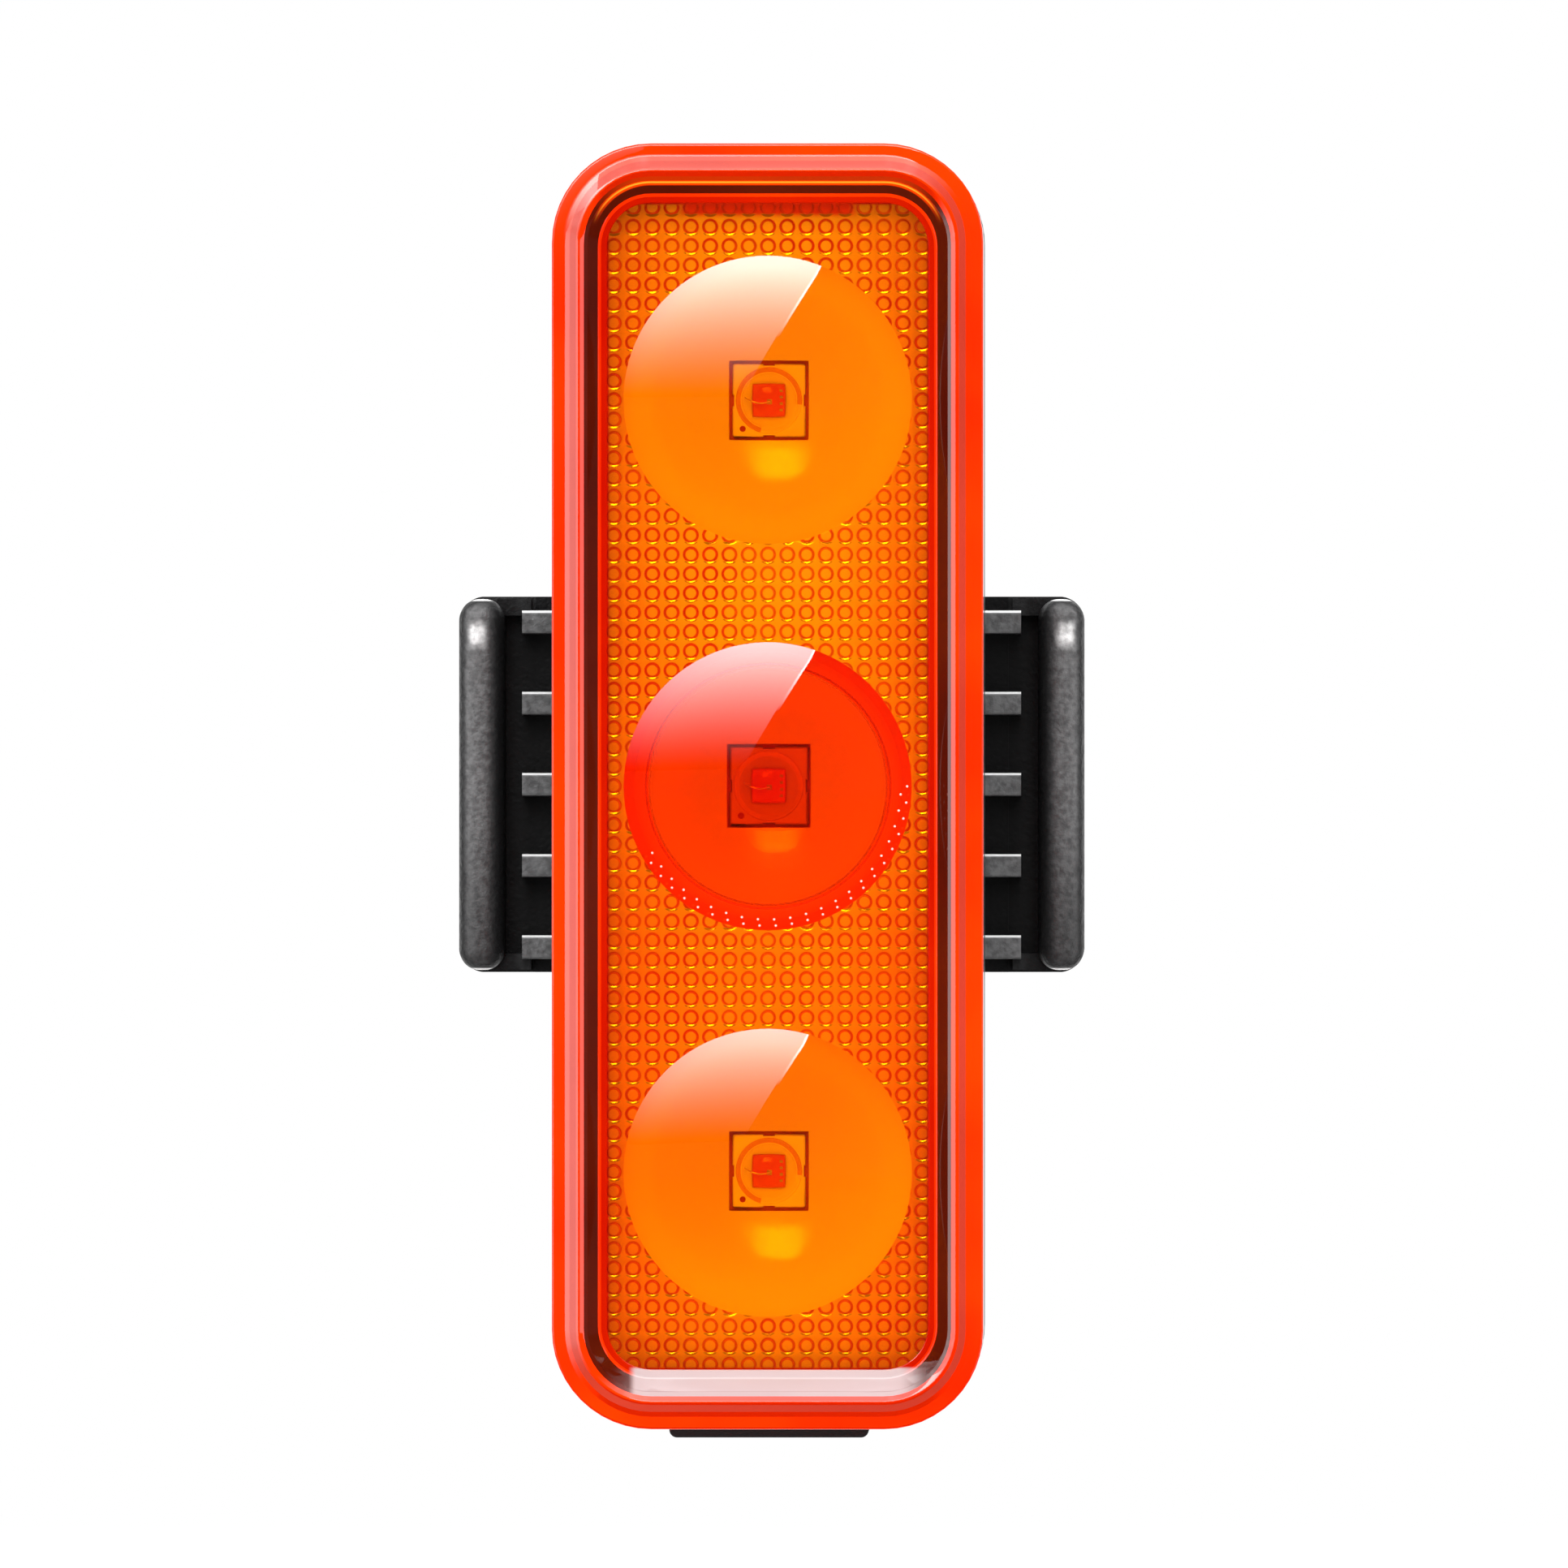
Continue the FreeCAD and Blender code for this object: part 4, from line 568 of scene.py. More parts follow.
MATERIALS = {
    "red_clear_plastic": clear_material("cover_clear", (1.0, 0.70, 0.14), 1.58, coat=1.0, coat_ior=1.8),
    "deep_red_plastic": clear_material(
        "middle_lens_red", (1.0, 0.70, 0.3), 1.55, flange=(6.6, (1.0, 0.54, 0.3))),
    "clear_silicone": clear_material("led_silicone", (0.98, 0.96, 0.92), 1.41),
    "bright_reflector": reflector_material(),
    "black_plastic": solid_material(
        "black_plastic_grain", (0.012, 0.012, 0.013), (0.02, 0.02, 0.021), 0.42,
        [(6000, 3, 1.0), (1800, 2, 0.5)], 0.00004, 0.05),
    "black_gloss_plastic": solid_material(
        "black_plastic_smooth", (0.01, 0.009, 0.011), (0.016, 0.013, 0.016), 0.22, [(900, 2, 1.0)],
        0.000008, 0.04),
    "black_rubber": solid_material(
        "black_rubber", (0.012, 0.012, 0.012), (0.02, 0.02, 0.02), 0.55, [(4000, 3, 1.0), (300, 2, 0.6)],
        0.00003, specular=0.35, sheen=0.05),
    "grey_rubber": solid_material(
        "grey_rubber", (0.09, 0.09, 0.095), (0.13, 0.13, 0.13), 0.6, distance=0.00003),
    "board_green": board_material(),
    "led_white": solid_material("led_ceramic", (0.95, 0.93, 0.8), (1.0, 0.98, 0.9), 0.4),
    "led_chip": solid_material("led_chip_red", (0.75, 0.05, 0.04), (0.85, 0.09, 0.06), 0.3, [(4000, 2, 1.0)]),
    "chip_black": solid_material(
        "chip_epoxy", (0.02, 0.02, 0.022), (0.035, 0.035, 0.04), 0.6, [(5000, 3, 1.0)], 0.00002),
    "ceramic_tan": solid_material("capacitor_ceramic", (0.40, 0.28, 0.16), (0.5, 0.37, 0.22), 0.5),
    "steel": solid_material(
        "stainless_steel", (0.55, 0.55, 0.56), (0.68, 0.68, 0.69), 0.28, [(2500, 3, 1.0)], 0.000008,
        metallic=1.0),
    "cell_foil": solid_material(
        "cell_foil", (0.62, 0.62, 0.64), (0.74, 0.74, 0.76), 0.35, [(700, 4, 1.0)], 0.00004, metallic=0.9),
    "wire_red": solid_material("wire_red", (0.55, 0.015, 0.015), (0.65, 0.03, 0.03), 0.5),
    "wire_black": solid_material("wire_black", (0.015, 0.015, 0.015), (0.03, 0.03, 0.03), 0.5),
    "amber_tape": solid_material(
        "amber_tape", (0.5, 0.25, 0.03), (0.65, 0.36, 0.06), 0.25, [(1200, 3, 1.0)], 0.00003),
}
# In the order of the marks in cover_outline.
COVER_MATERIALS = [
    MATERIALS["red_clear_plastic"],
    # The foot colours are pale painted reflections on the lower end, the rim's below colour is painted shade,
    # and the brow is painted light.
    rim_material("cover_rim", *RED, below=(0.5, 0.012, 0.0)),
    # Darker red for the groove, as painted shade.
    rim_material("cover_groove_painted_shade", (0.40, 0.03, 0.015), (0.48, 0.04, 0.02), 0.6, 0.6),
    rim_material("cover_wall", (0.05, 0.003, 0.001), (0.09, 0.008, 0.002), 0.05, 0.3,
                 foot=(0.46, 0.35, 0.35), brow=True),
    rim_material("cover_ledge", *RED, foot=(0.56, 0.44, 0.44)),
    rim_material("cover_edge", (0.40, 0.003, 0.0), (0.50, 0.01, 0.0), 0.1, 0.1, (0.50, 0.38, 0.38)),
    rim_material("cover_brink", (0.06, 0.003, 0.001), (0.10, 0.008, 0.002), 0.05, 1.0,
                 foot=(0.40, 0.28, 0.28), brow=True),
]
BRACKET = bracket_material()
PIN_MARK = solid_material("pin_mark", (0.35, 0.01, 0.01), (0.45, 0.02, 0.02), 0.4)
GOLD = solid_material("bond_gold", (0.95, 0.72, 0.30), (0.98, 0.80, 0.40), 0.2, metallic=0.6)
# Painted shade: a darker, redder copy of the LED ceramic, for the middle LED.
LED_SHADED = solid_material("led_ceramic_painted_shade", (0.68, 0.32, 0.2), (0.75, 0.4, 0.25), 0.4)
# Painted shade: a darker orange for the LED's raised ring, which draws its outline.
LED_RING_SHADE = solid_material("led_ring_painted_shade", (0.75, 0.36, 0.12), (0.85, 0.42, 0.15), 0.3)
# Painted glint: pale pink for the raised dots on the middle dome, which are real bumps.
DOT_GLINT = solid_material("lens_dots_painted_glint", (0.95, 0.50, 0.45), (0.98, 0.65, 0.6), 0.3)


def dress_nodes():
    """Give every CAD node the material of its slot in the record."""
    for part in frame["record"]["subparts"]:
        for slot in frame["nodes"][part["node"]].material_slots:
            slot.material = MATERIALS[part["material_slot"]]


# Lens cover

def cover_ring(inset, depth):
    """Ring of the cover at one inset; past the crest the ends are set in a little further."""
    share = min(max((inset - CREST_INSET) / (LEDGE_INSET - CREST_INSET), 0), 1)
    return rounded(HALF_WIDTH - inset, HALF_HEIGHT - inset - WINDOW_END_EXTRA * share,
                   COVER_CORNER - inset, depth)


def dome_depth(radius):
    return WINDOW_FRONT + DOME_RISE - DOME_BALL + sqrt(DOME_BALL ** 2 - radius ** 2)


def facet(inset):
    """Depth of the two facets that meet at the crest."""
    slope = OUTER_SLOPE if inset < CREST_INSET else INNER_SLOPE
    return COVER_FRONT + CREST_RISE - abs(CREST_INSET - inset) * slope


def cover_outline():
    """The cover's section from the window out over ledge, wall, crest and shoulder, and back up inside."""
    # The groove's faces use a material with a darker red, as painted shade in the groove.
    clear, rim, groove_shade_slot, shade, shelf, edge, brink = range(7)
    floor, ledge = WINDOW_FRONT, WINDOW_FRONT + LEDGE_RISE

    def wall(inset):
        share = (LEDGE_INSET - inset) / (LEDGE_INSET - WALL_TOP_INSET)
        return ledge + (facet(WALL_TOP_INSET) - ledge) * share

    def on(surface, inset, radius, mark):
        return inset, surface(inset), radius, mark

    return filleted([
        (WINDOW_INSET, floor, 0, clear),
        (WINDOW_INSET - 0.06, floor, 0, edge),
        (WINDOW_INSET - 0.12, floor + 0.12, 0, edge),
        (LEDGE_INSET + 0.12, ledge, 0, shelf),
        (LEDGE_INSET, ledge, 0.05, shelf),
        on(wall, LEDGE_INSET - 0.06, 0, shade),
        on(wall, WALL_TOP_INSET + 0.04, 0, brink),
        on(facet, WALL_TOP_INSET, 0.03, brink),
        on(facet, GLOW_INSET, 0, rim),
        on(facet, CREST_INSET, 0.12, rim),
        on(facet, GROOVE_INSET + GROOVE_HALF, 0, groove_shade_slot),
        (GROOVE_INSET, facet(GROOVE_INSET) - GROOVE_DEPTH, 0, groove_shade_slot),
        on(facet, GROOVE_INSET - GROOVE_HALF, 0, rim),
        on(facet, SHOULDER_INSET, 0.4, rim),
        (0.0, facet(SHOULDER_INSET) - 0.01, 0.16, rim),
        (0.0, PARTING + 0.15, 0.05, rim),
        (0.15, PARTING + SEAT_GAP, 0, rim),
        (WALL, PARTING + SEAT_GAP, 0, rim),
        (WALL, floor - WALL + SEAT_GAP, 0, clear),
    ])


def make_cover():
    """Clear moulding: sunk window with three domes, ledge, wall, crest, shoulder, skirt and inner face."""
    outline = cover_outline()
    shell = Shell()
    rings = [shell.add(cover_ring(inset, depth)) for inset, depth, _ in outline]
    for first, second, (_, _, mark) in zip(rings, rings[1:], outline):
        shell.bridge(first, second, mark)
    edges = {z: shell.add(circle(DOME_RADIUS, WINDOW_FRONT, 0, z)) for z in OPTICS.values()}
    shell.patch([rings[0], *edges.values()], outside(dict.fromkeys(edges, DOME_RADIUS), -0.01))
    for z, edge in edges.items():
        cap(shell, edge, DOME_RADIUS, dome_depth, z)
    shell.patch([rings[-1]], lambda x, z: True)
    cover = shell.build("lens_cover_clear", COVER_MATERIALS, 20)
    cover.modifiers.new("normals", "WEIGHTED_NORMAL").keep_sharp = True
    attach(cover, "lamp")
    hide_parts("lens_cover")


# Reflector

def dimple_height(x, z):
    """Depth of the reflector's front: flat, with a small round groove in each square of the grid."""
    cx, cz = round(x / DIMPLE_PITCH) * DIMPLE_PITCH, round(z / DIMPLE_PITCH) * DIMPLE_PITCH
    radius = hypot(x - cx, z - cz)
    if radius >= DIMPLE_RINGS[0][0]:
        return REFLECTOR_FRONT
    for (outer, high), (inner, low) in zip(DIMPLE_RINGS, DIMPLE_RINGS[1:]):
        if radius > inner - 1e-6:
            return REFLECTOR_FRONT + high + (low - high) * (outer - radius) / (outer - inner)
    return REFLECTOR_FRONT + DIMPLE_RINGS[-1][1]


def dimple_points():
    """Points (x, z) of the grooves' rings and middles, in every square of the grid behind the window."""
    columns, rows = int(REFLECTOR_RIGHT / DIMPLE_PITCH) + 1, int(REFLECTOR_TOP / DIMPLE_PITCH) + 1
    points = []
    for row in range(-rows, rows + 1):
        for column in range(-columns, columns + 1):
            cx, cz = column * DIMPLE_PITCH, row * DIMPLE_PITCH
            if abs(cx) > WINDOW_HALF_WIDTH or abs(cz) > WINDOW_HALF_HEIGHT:
                continue
            points.append((cx, cz))
            for radius, _ in DIMPLE_RINGS:
                points += [(x, z) for x, _, z in circle(radius, 0, cx, cz, DIMPLE_SIDES)]
    return points


def bowl_shape(radius, front):
    """Ball radius and centre depth of a bowl with a given mouth."""
    depth = front - BOWL_FLOOR
    ball = (radius ** 2 + depth ** 2) / (2 * depth)
    return ball, BOWL_FLOOR + ball


def bowl_rings(shell, mouth, ball, centre, z, mouth_radius, steps):
    """Rings from a bowl's round mouth down to its square window; returns the last ring."""
    rings = [mouth]
    for k in range(1, steps + 1):
        points = []
        for i in range(len(mouth)):
            a = 2 * pi * i / len(mouth)
            window = LED_WINDOW / 2 / max(abs(cos(a)), abs(sin(a)))
            radius = mouth_radius + (window - mouth_radius) * k / steps
            points.append((radius * cos(a), centre - sqrt(ball ** 2 - radius ** 2),
                           z + radius * sin(a)))
        rings.append(shell.add(points))
    shell.loft(rings)
    return rings[-1]


def make_reflector():
    """Reflector plate with its field of round grooves, three bowls with square windows, and cups behind."""
    shell = Shell()
    size, gap = (REFLECTOR_RIGHT, REFLECTOR_TOP, REFLECTOR_CORNER), 0.06
    edge = shell.add(rounded(*size, REFLECTOR_FRONT))
    mouths = {z: LENS_SEAT_RADIUS if spot == "middle" else BOWL_RADIUS for spot, z in OPTICS.items()}
    bowls = {z: shell.add(circle(radius, REFLECTOR_FRONT, 0, z)) for z, radius in mouths.items()}
    beside_bowls = outside(mouths, gap)
    grooves = [(x, z) for x, z in dimple_points()
               if beside_bowls(x, z) and inside_rounded(x, z, *(length - gap for length in size))]
    shell.patch([edge, *bowls.values()], outside(mouths, -0.01), grooves, dimple_height)
    back = shell.add(rounded(*size, PLATE_BACK))
    shell.bridge(edge, back)
    cups, cup_rings = {}, []
    for z, mouth in bowls.items():
        radius, front = mouths[z], REFLECTOR_FRONT
        if z == OPTICS["middle"]:
            radius, front = MIDDLE_BOWL_RADIUS, PLATE_BACK
            seat = shell.turn([(LENS_SEAT_RADIUS, front), (radius, front)], 0, z)
            shell.bridge(mouth, seat[0])
            mouth = seat[1]
        ball, centre = bowl_shape(radius, front)
        inner = bowl_rings(shell, mouth, ball, centre, z, radius, 16)
        ball += CUP_WALL
        cups[z] = sqrt(ball ** 2 - (centre - PLATE_BACK + SEAT_GAP) ** 2)
        cup_rings.append(shell.add(circle(cups[z], PLATE_BACK, 0, z)))
        shell.bridge(inner, bowl_rings(shell, cup_rings[-1], ball, centre, z, cups[z], 8))
    shell.patch([back, *cup_rings], outside(cups, -0.01))
    reflector = shell.build("reflector_dimpled", [MATERIALS["bright_reflector"]], 38)
    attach(reflector, "lamp")
    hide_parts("reflector")


def make_middle_lens():
    """Deep red inner lens: flat front with a ring groove, a flange, and a bulging back."""
    _, flange, _, front, _, _ = node_box("middle_lens")
    lens_radius, bulge, groove = 6.6, 1.35, 0.1
    front -= SEAT_GAP
    flange_back = PLATE_BACK + SEAT_GAP
    ball = (lens_radius ** 2 + bulge ** 2) / (2 * bulge)
    shell = Shell()
    rings = shell.turn((
        (flange - 0.08, front), (flange, front - 0.08), (flange, flange_back),
        (lens_radius + 0.1, flange_back), (lens_radius, flange_back + 0.12), (lens_radius, flange_back)))
    cap(shell, rings[-1], lens_radius, lambda r: flange_back - bulge + ball - sqrt(ball ** 2 - r ** 2))
    face = [rings[0], *[shell.add(circle(lens_radius + wider, front - depth))
                        for wider, depth in ((groove, 0), (0, groove), (-groove, 0))]]
    shell.loft(face)
    shell.fan(face[-1], (0, front, 0), flat=True)
    lens = shell.build("middle_lens_clear", [MATERIALS["deep_red_plastic"]], 16)
    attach(lens, "lamp")
    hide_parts("middle_lens")


def make_lens_dots():
    """Two rows of tiny raised dots low on the middle dome's margin, from lower left round to the right, in a
    pale pink that is a painted glint.
    """
    shell = Shell()
    size, pitch, tip = 0.075, 0.94, 0.065
    start, stop = radians(-150), radians(2)
    for radius, phase in ((7.72, 0.0), (8.08, 0.5)):
        step = pitch / radius
        seat = dome_depth(radius)
        for i in range(int((stop - start) / step) + 1):
            a = start + (i + phase) * step
            x, z = radius * cos(a), radius * sin(a)
            rings = shell.turn(((size, seat - 0.03), (size * 0.85, seat + 0.03), (size * 0.5, seat + 0.055)),
                               x, z, 10)
            shell.face(rings[0])
            shell.fan(rings[-1], (x, seat + tip, z))
    dots = shell.build("middle_dome_dots", [DOT_GLINT], 60)
    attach(dots, "lamp")


def make_led_domes():
    """Soft clear lenses over the chips."""
    steps = 12
    for spot, z in OPTICS.items():
        node = f"led_dome_{spot}"
        _, radius, back, _, _, _ = node_box(node)
        turns = [pi / 2 * i / steps for i in range(1, steps)]
        arc = [(radius * cos(a), back + radius * sin(a)) for a in turns]
        shell = Shell()
        rings = shell.turn([(radius, back - SEAT_GAP), *arc], 0, z, 48)
        shell.fan(rings[-1], (0, back + radius, z))
        shell.fan(rings[0], (0, back - SEAT_GAP, z), flat=True)
        dome = shell.build(f"led_lens_{spot}", [MATERIALS["clear_silicone"]], 30)
        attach(dome, "lamp")
        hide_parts(node)


# LEDs

def led_outline(half, notch, depth, front, z):
    """Square package outline with a small notch in the middle of each side."""
    cut = 0.08
    side = [(half, cut - half), (half, -notch), (half - depth, -notch), (half - depth, notch), (half, notch),
            (half, half - cut), (half - cut, half)]
    return [(x * c - up * s, front, x * s + up * c + z)
            for c, s in ((1, 0), (0, 1), (-1, 0), (0, -1)) for x, up in side]


def make_led_bases():
    """LED packages: notched body with a raised ring round the clear lens and a mark at the first pin. The
    ring is painted darker orange as shade, except at its lower right, which keeps the body's light colour as
    a painted glint.
    """
    plain, marked, ring_shade_slot = range(3)
    ring_sides, ring_glint = 48, range(34, 47)
    chamfer, mark_x, mark_up, mark_radius = 0.06, -1.28, -1.38, 0.15
    for spot, z in OPTICS.items():
        node = f"led_base_{spot}"
        _, half, back, front, _, _ = node_box(node)
        top, mark_z = front - SEAT_GAP, z + mark_up
        shell = Shell()
        foot = shell.add(led_outline(half, 0.28, 0.08, back + SEAT_GAP, z))
        brow = shell.add(led_outline(half, 0.28, 0.08, top - chamfer, z))
        rim = shell.add(led_outline(half - chamfer, 0.30, 0.05, top, z))
        shell.loft([foot, brow, rim])
        rings = [shell.add(circle(radius, top + rise, 0, z, ring_sides))
                 for radius, rise in ((1.62, 0), (1.59, 0.10), (1.54, 0.10), (1.38, 0.0))]
        # The ring's lower right keeps the body colour as a painted glint; the rest takes the ring's painted
        # shade.
        for first, second in zip(rings, rings[1:]):
            for i in range(ring_sides):
                j = (i + 1) % ring_sides
                shell.face((first[i], first[j], second[j], second[i]), plain if i in ring_glint else ring_shade_slot)
        dot = shell.add(circle(mark_radius, top, mark_x, mark_z, 20))
        shell.patch([rim, rings[0], dot], lambda x, up: hypot(x, up - z) > 1.61
                    and hypot(x - mark_x, up - mark_z) > mark_radius * 0.98)
        shell.fan(dot, (mark_x, top - 0.03, mark_z), marked)
        shell.fan(rings[-1], (0, top, z))
        shell.fan(foot, (0, back + SEAT_GAP, z))
        # The middle LED's body takes the darker copy of the ceramic as painted shade.
        body = LED_SHADED if spot == "middle" else MATERIALS["led_white"]
        base = shell.build(f"led_package_{spot}", [body, PIN_MARK, LED_RING_SHADE], 12)
        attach(base, "lamp")
        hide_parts(node)


def slab(shell, half_x, half_z, x, z, back, front, slot=0, chamfer=0.03):
    """Small block with chamfered front edges."""
    shell.solid([shell.add([(x + sx * (half_x - inset), depth, z + sz * (half_z - inset))
                            for sx, sz in ((1, 1), (-1, 1), (-1, -1), (1, -1))])
                 for inset, depth in ((0, back), (0, front - chamfer), (chamfer, front))], slot)


def tube(shell, path, radius, slot, sides=8):
    """Round wire through a list of points, each (x, depth, z)."""
    rings = []
    for i, here in enumerate(path):
        ahead = Vector(path[min(i + 1, len(path) - 1)]) - Vector(path[max(i - 1, 0)])
        ahead.normalize()
        across = ahead.orthogonal().normalized()
        if abs(across.z) > 0.9:
            across = ahead.cross(Vector((0, 1, 0))).normalized()
        up = ahead.cross(across)
        rings.append(shell.add([Vector(here) + (across * cos(a) + up * sin(a)) * radius
                                for a in (2 * pi * k / sides for k in range(sides))]))
    shell.solid(rings, slot)


def make_led_dies():
    """Chips with their contacts and a thin gold wire bonded to the middle."""
    gold, wire_steps, wire_radius = 1, 12, 0.03
    for spot, z in OPTICS.items():
        node = f"led_die_{spot}"
        _, half, back, front, _, _ = node_box(node)
        low, high = front - 0.02, front + 0.03
        shell = Shell()
        slab(shell, half, half, 0, z, back - SEAT_GAP, front)
        for step in (-0.36, -0.12, 0.12, 0.36):
            slab(shell, 0.06, 0.05, half - 0.14, z + step, low, high, gold, 0.01)
        slab(shell, 0.09, 0.09, 0.02, z - 0.05, low, high, gold, 0.01)
        path = []
        for i in range(wire_steps + 1):
            t = i / wire_steps
            path.append((-0.95 + 0.97 * t, back + 0.05 + 0.12 * t + 0.32 * sin(pi * t),
                         z + 0.12 - 0.17 * t - 0.14 * sin(pi * t)))
        tube(shell, path, wire_radius, gold)
        die = shell.build(f"led_chip_{spot}", [MATERIALS["led_chip"], GOLD], 30)
        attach(die, "lamp")
        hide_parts(node)


# Black parts

def reworked(node, name, material, width, body, cutter=None, segments=2):
    """A copy of a CAD node's mesh with soft edges; a cutter keeps only what lies inside it."""
    mesh = frame["nodes"][node].data.copy()
    mesh.name = name
    if "custom_normal" in mesh.attributes:
        mesh.attributes.remove(mesh.attributes["custom_normal"])
    thing = placed(name, mesh)

    def weld(bm):
        bmesh.ops.remove_doubles(bm, verts=bm.verts, dist=2e-6)

    def soften(bm):
        weld(bm)
        bmesh.ops.dissolve_limit(bm, angle_limit=radians(0.5), verts=bm.verts, edges=bm.edges)
        edges = [e for e in bm.edges if len(e.link_faces) == 2 and e.calc_face_angle(0) > radians(28)]
        bmesh.ops.bevel(bm, geom=edges, offset=width * MM, offset_type="OFFSET", segments=segments,
                        profile=0.5, affect="EDGES", clamp_overlap=True, miter_outer="ARC")
        for f in bm.faces:
            f.smooth = True
            f.material_index = 0
        for e in bm.edges:
            e.smooth = len(e.link_faces) == 2 and e.calc_face_angle(0) < radians(50)

    edited(mesh, weld)
    if cutter:
        cut = thing.modifiers.new("corners", "BOOLEAN")
        cut.operation, cut.object, cut.solver = "INTERSECT", cutter, "EXACT"
        bpy.context.view_layer.update()
        ready = thing.evaluated_get(bpy.context.evaluated_depsgraph_get())
        mesh = thing.data = bpy.data.meshes.new_from_object(ready)
        thing.modifiers.clear()
        bpy.data.objects.remove(cutter)
    edited(mesh, soften)
    mesh.materials.clear()
    mesh.materials.append(material)
    thing.modifiers.new("normals", "WEIGHTED_NORMAL").keep_sharp = True
    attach(thing, body)
    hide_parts(node)
    return thing


def make_bracket():
    """Bracket with the outer corners of its wings rounded, as seen from the front."""
    _, right, back, front, _, high = node_box("bracket_saddle")
    corner, gap, beyond = 1.5, 0.01, 1
    shell = Shell()
    shell.solid([shell.add(rounded(right + gap, high + gap, corner, depth))
                 for depth in (back - beyond, front + beyond)])
    cutter = shell.build("corner_block", [], 30)
    bracket = reworked("bracket_saddle", "bracket_moulding", BRACKET, 0.15, "bracket", cutter)


def strap_stations(middle, bead_x, bead_depth):
    """Stations along the strap, each a point (x, y), its outward direction and the depth of its groove: a
    straight lead from one bead, the arc round the post, and the same lead mirrored."""
    lean = acos(middle / hypot(bead_x, bead_depth)) - atan2(bead_depth, bead_x)
    count, groove_depth, groove_pitch, groove_reach = 360, 0.28, radians(5.2), radians(62)
    arc = []
    for i in range(count + 1):
        a = lean + (pi - 2 * lean) * i / count
        off_back = a - pi / 2
        dip = groove_depth * max(0, cos(2 * pi * off_back / groove_pitch)) ** 2
        if abs(off_back) > groove_reach:
            dip = 0.0
        arc.append(((middle * cos(a), middle * sin(a)), (cos(a), sin(a)), dip))
    (x, y), outward, _ = arc[0]
    lead = [((bead_x + (x - bead_x) * t, -bead_depth + (y + bead_depth) * t), outward, 0.0)
            for t in (0, 0.25, 0.5, 0.75)]
    return [*lead, *arc, *[((-px, py), (-nx, ny), dip) for (px, py), (nx, ny), dip in reversed(lead)]]


def make_strap():
    """Rubber strap round the back of the post: rounded edges, grip grooves across, and a bead at each end."""
    _, reach_x, back, _, _, half = node_box("rubber_strap")
    thickness, bead, round_off, bead_sides = 1.7, 1.4, 0.35, 28
    bead_x, bead_depth, end = reach_x - bead, 16.25, half - 0.05
    shell = Shell()
    rings = []
    for (x, y), (nx, ny), dip in strap_stations(-back - thickness / 2, bead_x, bead_depth):
        section = []
        for across, _, up in rounded(thickness / 2, half, round_off, 0, 4):
            if across > 0:
                across -= dip
            section.append((x + nx * across, -(y + ny * across), up))
        rings.append(shell.add(section))
    shell.solid(rings)
    soft = ((0.3, 0), (0.09, 0.09), (0, 0.3))
    profile = [(bead - inset, rise - end) for inset, rise in soft]
    profile += [(radius, -height) for radius, height in reversed(profile)]
    for x in (bead_x, -bead_x):
        shell.solid([shell.add([(across, along, height) for across, _, along in
                                circle(radius, 0, x, bead_depth, bead_sides)]) for radius, height in profile])
    strap = shell.build("strap_moulding", [MATERIALS["black_rubber"]], 40)
    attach(strap, "bracket")
    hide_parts("rubber_strap")


def make_soft_parts():
    """Rubber parts with edges as soft as their moulds leave them."""
    for node, name, slot, width, body in (
            ("port_cover", "port_flap", "black_rubber", 0.45, "port_cover"),
            ("saddle_pad", "post_pad", "black_rubber", 0.15, "bracket"),
            ("power_button", "button_cap", "black_rubber", 0.25, "power_button")):
        thing = reworked(node, name, MATERIALS[slot], width, body, segments=3)


# Stage, in metres

FLOOR_HEIGHT = -0.055
FLOOR_REACH = 4.0


def stage_mesh(name, points, material, faces=None, **seen):
    """A mesh of the stage, one face unless faces are given, hidden from the rays that aren't named."""
    mesh = bpy.data.meshes.new(name)
    mesh.from_pydata(points, [], faces or [tuple(range(len(points)))])
    mesh.materials.append(material)
    thing = placed(name, mesh)
    for key in ("camera", "diffuse", "glossy", "transmission", "shadow"):
        setattr(thing, "visible_" + key, seen.get(key, False))
    return thing


def sky_patch(name, radius, near, far, start, stop, material, **seen):
    """Part of a ball round the lamp: near and far count from straight ahead, start and stop go round it."""
    rings, count = 12, 48
    points, faces = [], []
    for i in range(rings + 1):
        a = radians(near + (far - near) * i / rings)
        for j in range(count + 1):
            b = radians(start + (stop - start) * j / count)
            points.append((radius * sin(a) * cos(b), -radius * cos(a),
                           radius * sin(a) * sin(b)))
    for i in range(rings):
        for j in range(count):
            k = i * (count + 1) + j
            faces.append((k, k + 1, k + count + 2, k + count + 1))
    stage_mesh(name, points, material, faces, **seen)


def make_world():
    """White to the eye and in reflections, and a soft plain fill for the surfaces."""
    world = bpy.data.worlds.new("studio")
    bpy.context.scene.world = world
    tree = Tree(world)
    strength = tree.mapped(tree.seen(), 0, 1, 0.74, 1.0, "LINEAR")
    tree.add("OutputWorld", tree.add("Background", Color=(1, 1, 1), Strength=strength).outputs[0])


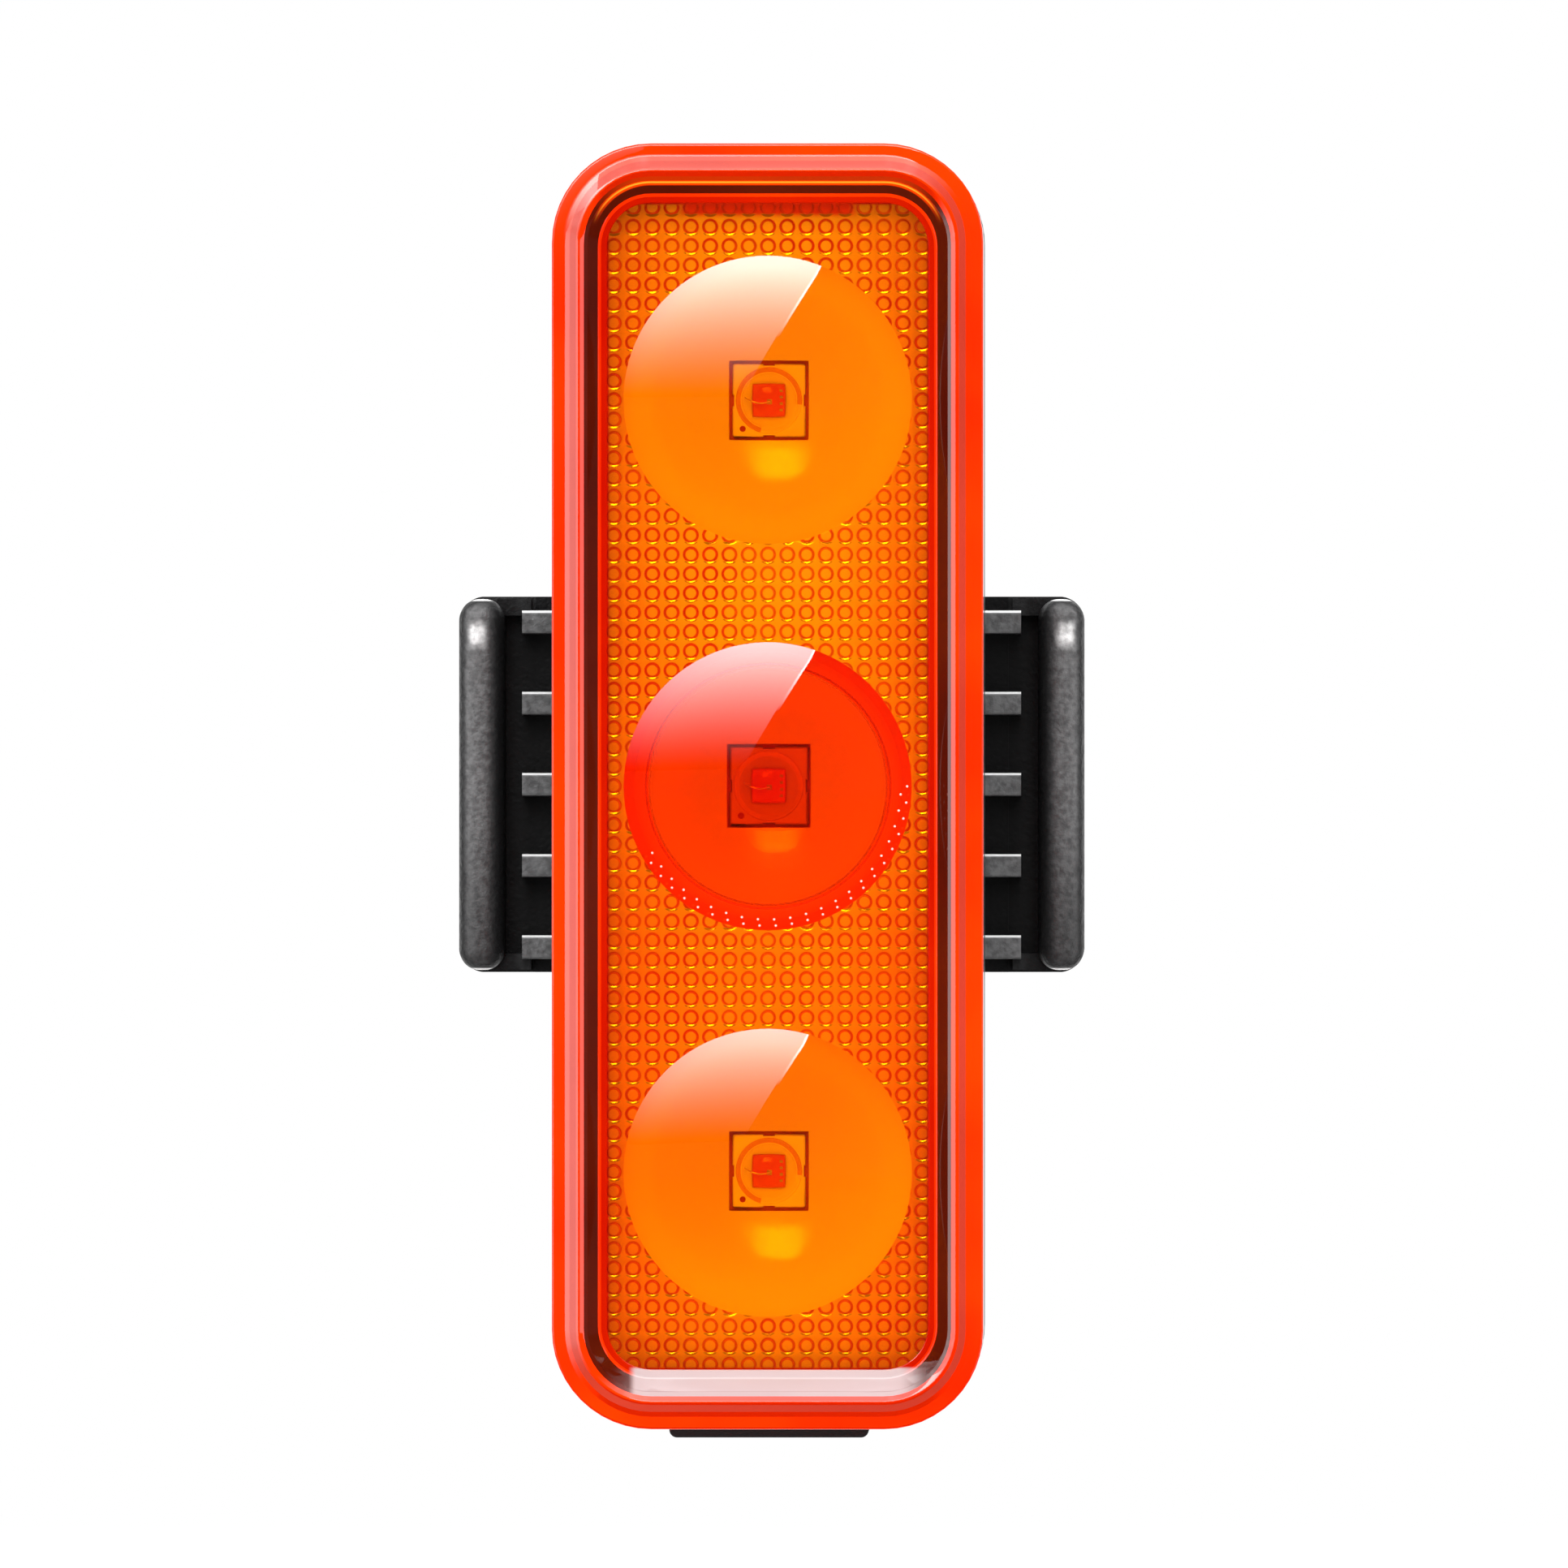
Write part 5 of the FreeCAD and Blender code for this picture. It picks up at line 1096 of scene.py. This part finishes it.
def make_floor():
    """Pale floor under the lamp. It keeps the shadow near the part and turns plain white further out."""
    tree = new_material("floor")
    length = tree.add("VectorMath", tree.space(), operation="LENGTH").outputs["Value"]
    share = tree.times(tree.seen(), tree.mapped(length, 0.12, 0.45))
    near = tree.add("BsdfDiffuse", Color=(0.86, 0.86, 0.86))
    white = tree.add("Emission", Strength=1.0)
    material = tree.finish(tree.add("MixShader", share, near.outputs[0], white.outputs[0]))
    r = FLOOR_REACH
    floor = stage_mesh("floor", [(-r, -r, 0), (r, -r, 0), (r, r, 0), (-r, r, 0)], material,
                       camera=True, diffuse=True, shadow=True)
    floor.location = (0, 0, FLOOR_HEIGHT)


def rising_glow(name, low, high, strength, power):
    """Light that grows with height, from nothing at low to its full strength at high."""
    tree = new_material(name)
    _, _, height = tree.split(tree.space())
    share = tree.maths("POWER", tree.mapped(height, low, high, how="LINEAR"), power)
    return tree.glow(tree.times(share, strength))


def make_card():
    """Window-shaped light in front and above, seen only in reflections, with a bright rim on its slanting
    right edge."""
    y, left, low, high, start, end = -0.40, -0.42, 0.03, 0.36, -0.05, 0.133
    rim_low, rim_width = 0.14, 0.005
    foot = start + (end - start) * (rim_low - low) / (high - low)
    stage_mesh("card", [(left, y, low), (start, y, low), (end, y, high), (left, y, high)],
               rising_glow("card", low, 0.315, 6.4, 1.8), glossy=True)
    stage_mesh("card_rim", [(foot, y, rim_low), (foot + rim_width, y, rim_low), (end + rim_width, y, high),
                            (end, y, high)],
               rising_glow("card_rim", rim_low, 0.24, 8.0, 1.0), glossy=True)


def make_flag():
    """Dark screen in front and all round, seen only in reflections and through the cover, so that the plastic
    keeps its own colours."""
    tree = new_material("flag")
    material = tree.finish(tree.add("BsdfDiffuse", Color=(0.01, 0.01, 0.01)))
    sky_patch("flag", 0.9, 0, 115, 0, 360, material, glossy=True, transmission=True)
    sky_patch("flag_behind", 0.9, 115, 150, 0, 360, material, transmission=True)


def make_sky_band():
    """Soft band of light to the left and above, inside the dark screen, which draws the rim's crest, and a
    fainter one to the right for the crest's inner side."""
    tree = new_material("sky_band")
    across, _, up = tree.split(tree.space())
    light = tree.glow(tree.times(tree.mapped(tree.noise(9, 2), 0.3, 0.7, 1.5, 2.2),
                                 tree.mapped(across, 0.50, 0.15), tree.mapped(up, -0.4, 0.0)))
    sky_patch("sky_band", 0.8, 44, 70, 35, 220, light, glossy=True)
    sky_patch("side_band", 0.8, 59, 74, -30, 30, new_material("side_band").glow(1.1), glossy=True)


def make_inner_glow():
    """Small light above in front, seen only through the cover, which sparkles on the grooves and bowls."""
    radius, aside, low, high, half_width, fullness, count = 0.6, -5.5, 26.0, 43.5, 20.0, 0.75, 24
    tree = new_material("inner_glow")
    across, _, _ = tree.split(tree.space())
    off_middle = tree.size(tree.less(across, radius * sin(radians(aside))))
    light = tree.glow(tree.mapped(off_middle, 0.06, 0.17, 13.0, 3.0))
    points = []
    for i in range(count + 1):
        a = pi * i / count
        across = radians(aside + half_width * copysign(abs(cos(a)) ** fullness, cos(a)))
        up = radians(low + (high - low) * abs(sin(a)) ** fullness)
        points.append((radius * cos(up) * sin(across), -radius * cos(up) * cos(across),
                       radius * sin(up)))
    stage_mesh("inner_glow", points, light, transmission=True)


# Name, place, the point it shines at, width, height and radiance of each area light.
LIGHTS = (
    ("top_glow", (0.0, 0.01, 0.45), (0, 0.01, 0), 0.40, 0.38, 4.2),
    ("top_key", (0.0, -0.12, 0.46), (0, -0.02, 0), 0.34, 0.24, 4.5),
    ("left_softbox", (-0.55, -0.22, 0.12), (0, -0.03, 0), 0.25, 0.5, 3.2),
    ("right_softbox", (0.55, -0.22, 0.12), (0, -0.03, 0), 0.25, 0.5, 2.6),
    ("front_fill", (0.0, -0.9, 0.35), (0, -0.03, 0), 0.6, 0.5, 4.2),
)


def make_lights():
    """Soft lights that show on surfaces but in no reflection."""
    for name, place, aim, width, height, radiance in LIGHTS:
        data = bpy.data.lights.new(name, "AREA")
        data.shape, data.size, data.size_y = "RECTANGLE", width, height
        data.energy = radiance * pi * width * height
        lamp = placed(name, data)
        lamp.location = place
        lamp.rotation_euler = (Vector(aim) - Vector(place)).to_track_quat("-Z", "Y").to_euler()
        lamp.visible_camera = lamp.visible_glossy = lamp.visible_transmission = False


# Camera, in metres except for the lens and sensor
LENS, SENSOR = 800.0, 36.0
FRAME_WIDTH = 0.0908
FRAME_X, FRAME_Z = 0.00096, 0.00014
CAMERA_ASIDE, CAMERA_ABOVE = 0.022, 0.010


def make_camera():
    """Long lens in front, a little to the right and above as in the photograph. The frame's width and middle
    are measured at the lamp's front."""
    data = bpy.data.cameras.new("camera")
    data.lens, data.sensor_width = LENS, SENSOR
    data.clip_start, data.clip_end = 0.1, 20
    camera = placed("camera", data)
    aim = Vector((FRAME_X, -COVER_FRONT * MM, FRAME_Z))
    camera.location = aim + Vector((CAMERA_ASIDE, -FRAME_WIDTH * LENS / SENSOR, CAMERA_ABOVE))
    camera.rotation_euler = (aim - camera.location).to_track_quat("-Z", "Y").to_euler()
    bpy.context.scene.camera = camera


dress_nodes()
make_cover()
make_reflector()
make_middle_lens()
make_lens_dots()
make_led_domes()
make_led_bases()
make_led_dies()
make_bracket()
make_strap()
make_soft_parts()
make_world()
make_floor()
make_card()
make_flag()
make_sky_band()
make_inner_glow()
make_lights()
make_camera()

scene = bpy.context.scene
scene.view_settings.view_transform = "Standard"
scene.cycles.transparent_max_bounces = 24
scene.cycles.max_bounces = 16
scene.cycles.transmission_bounces = 16
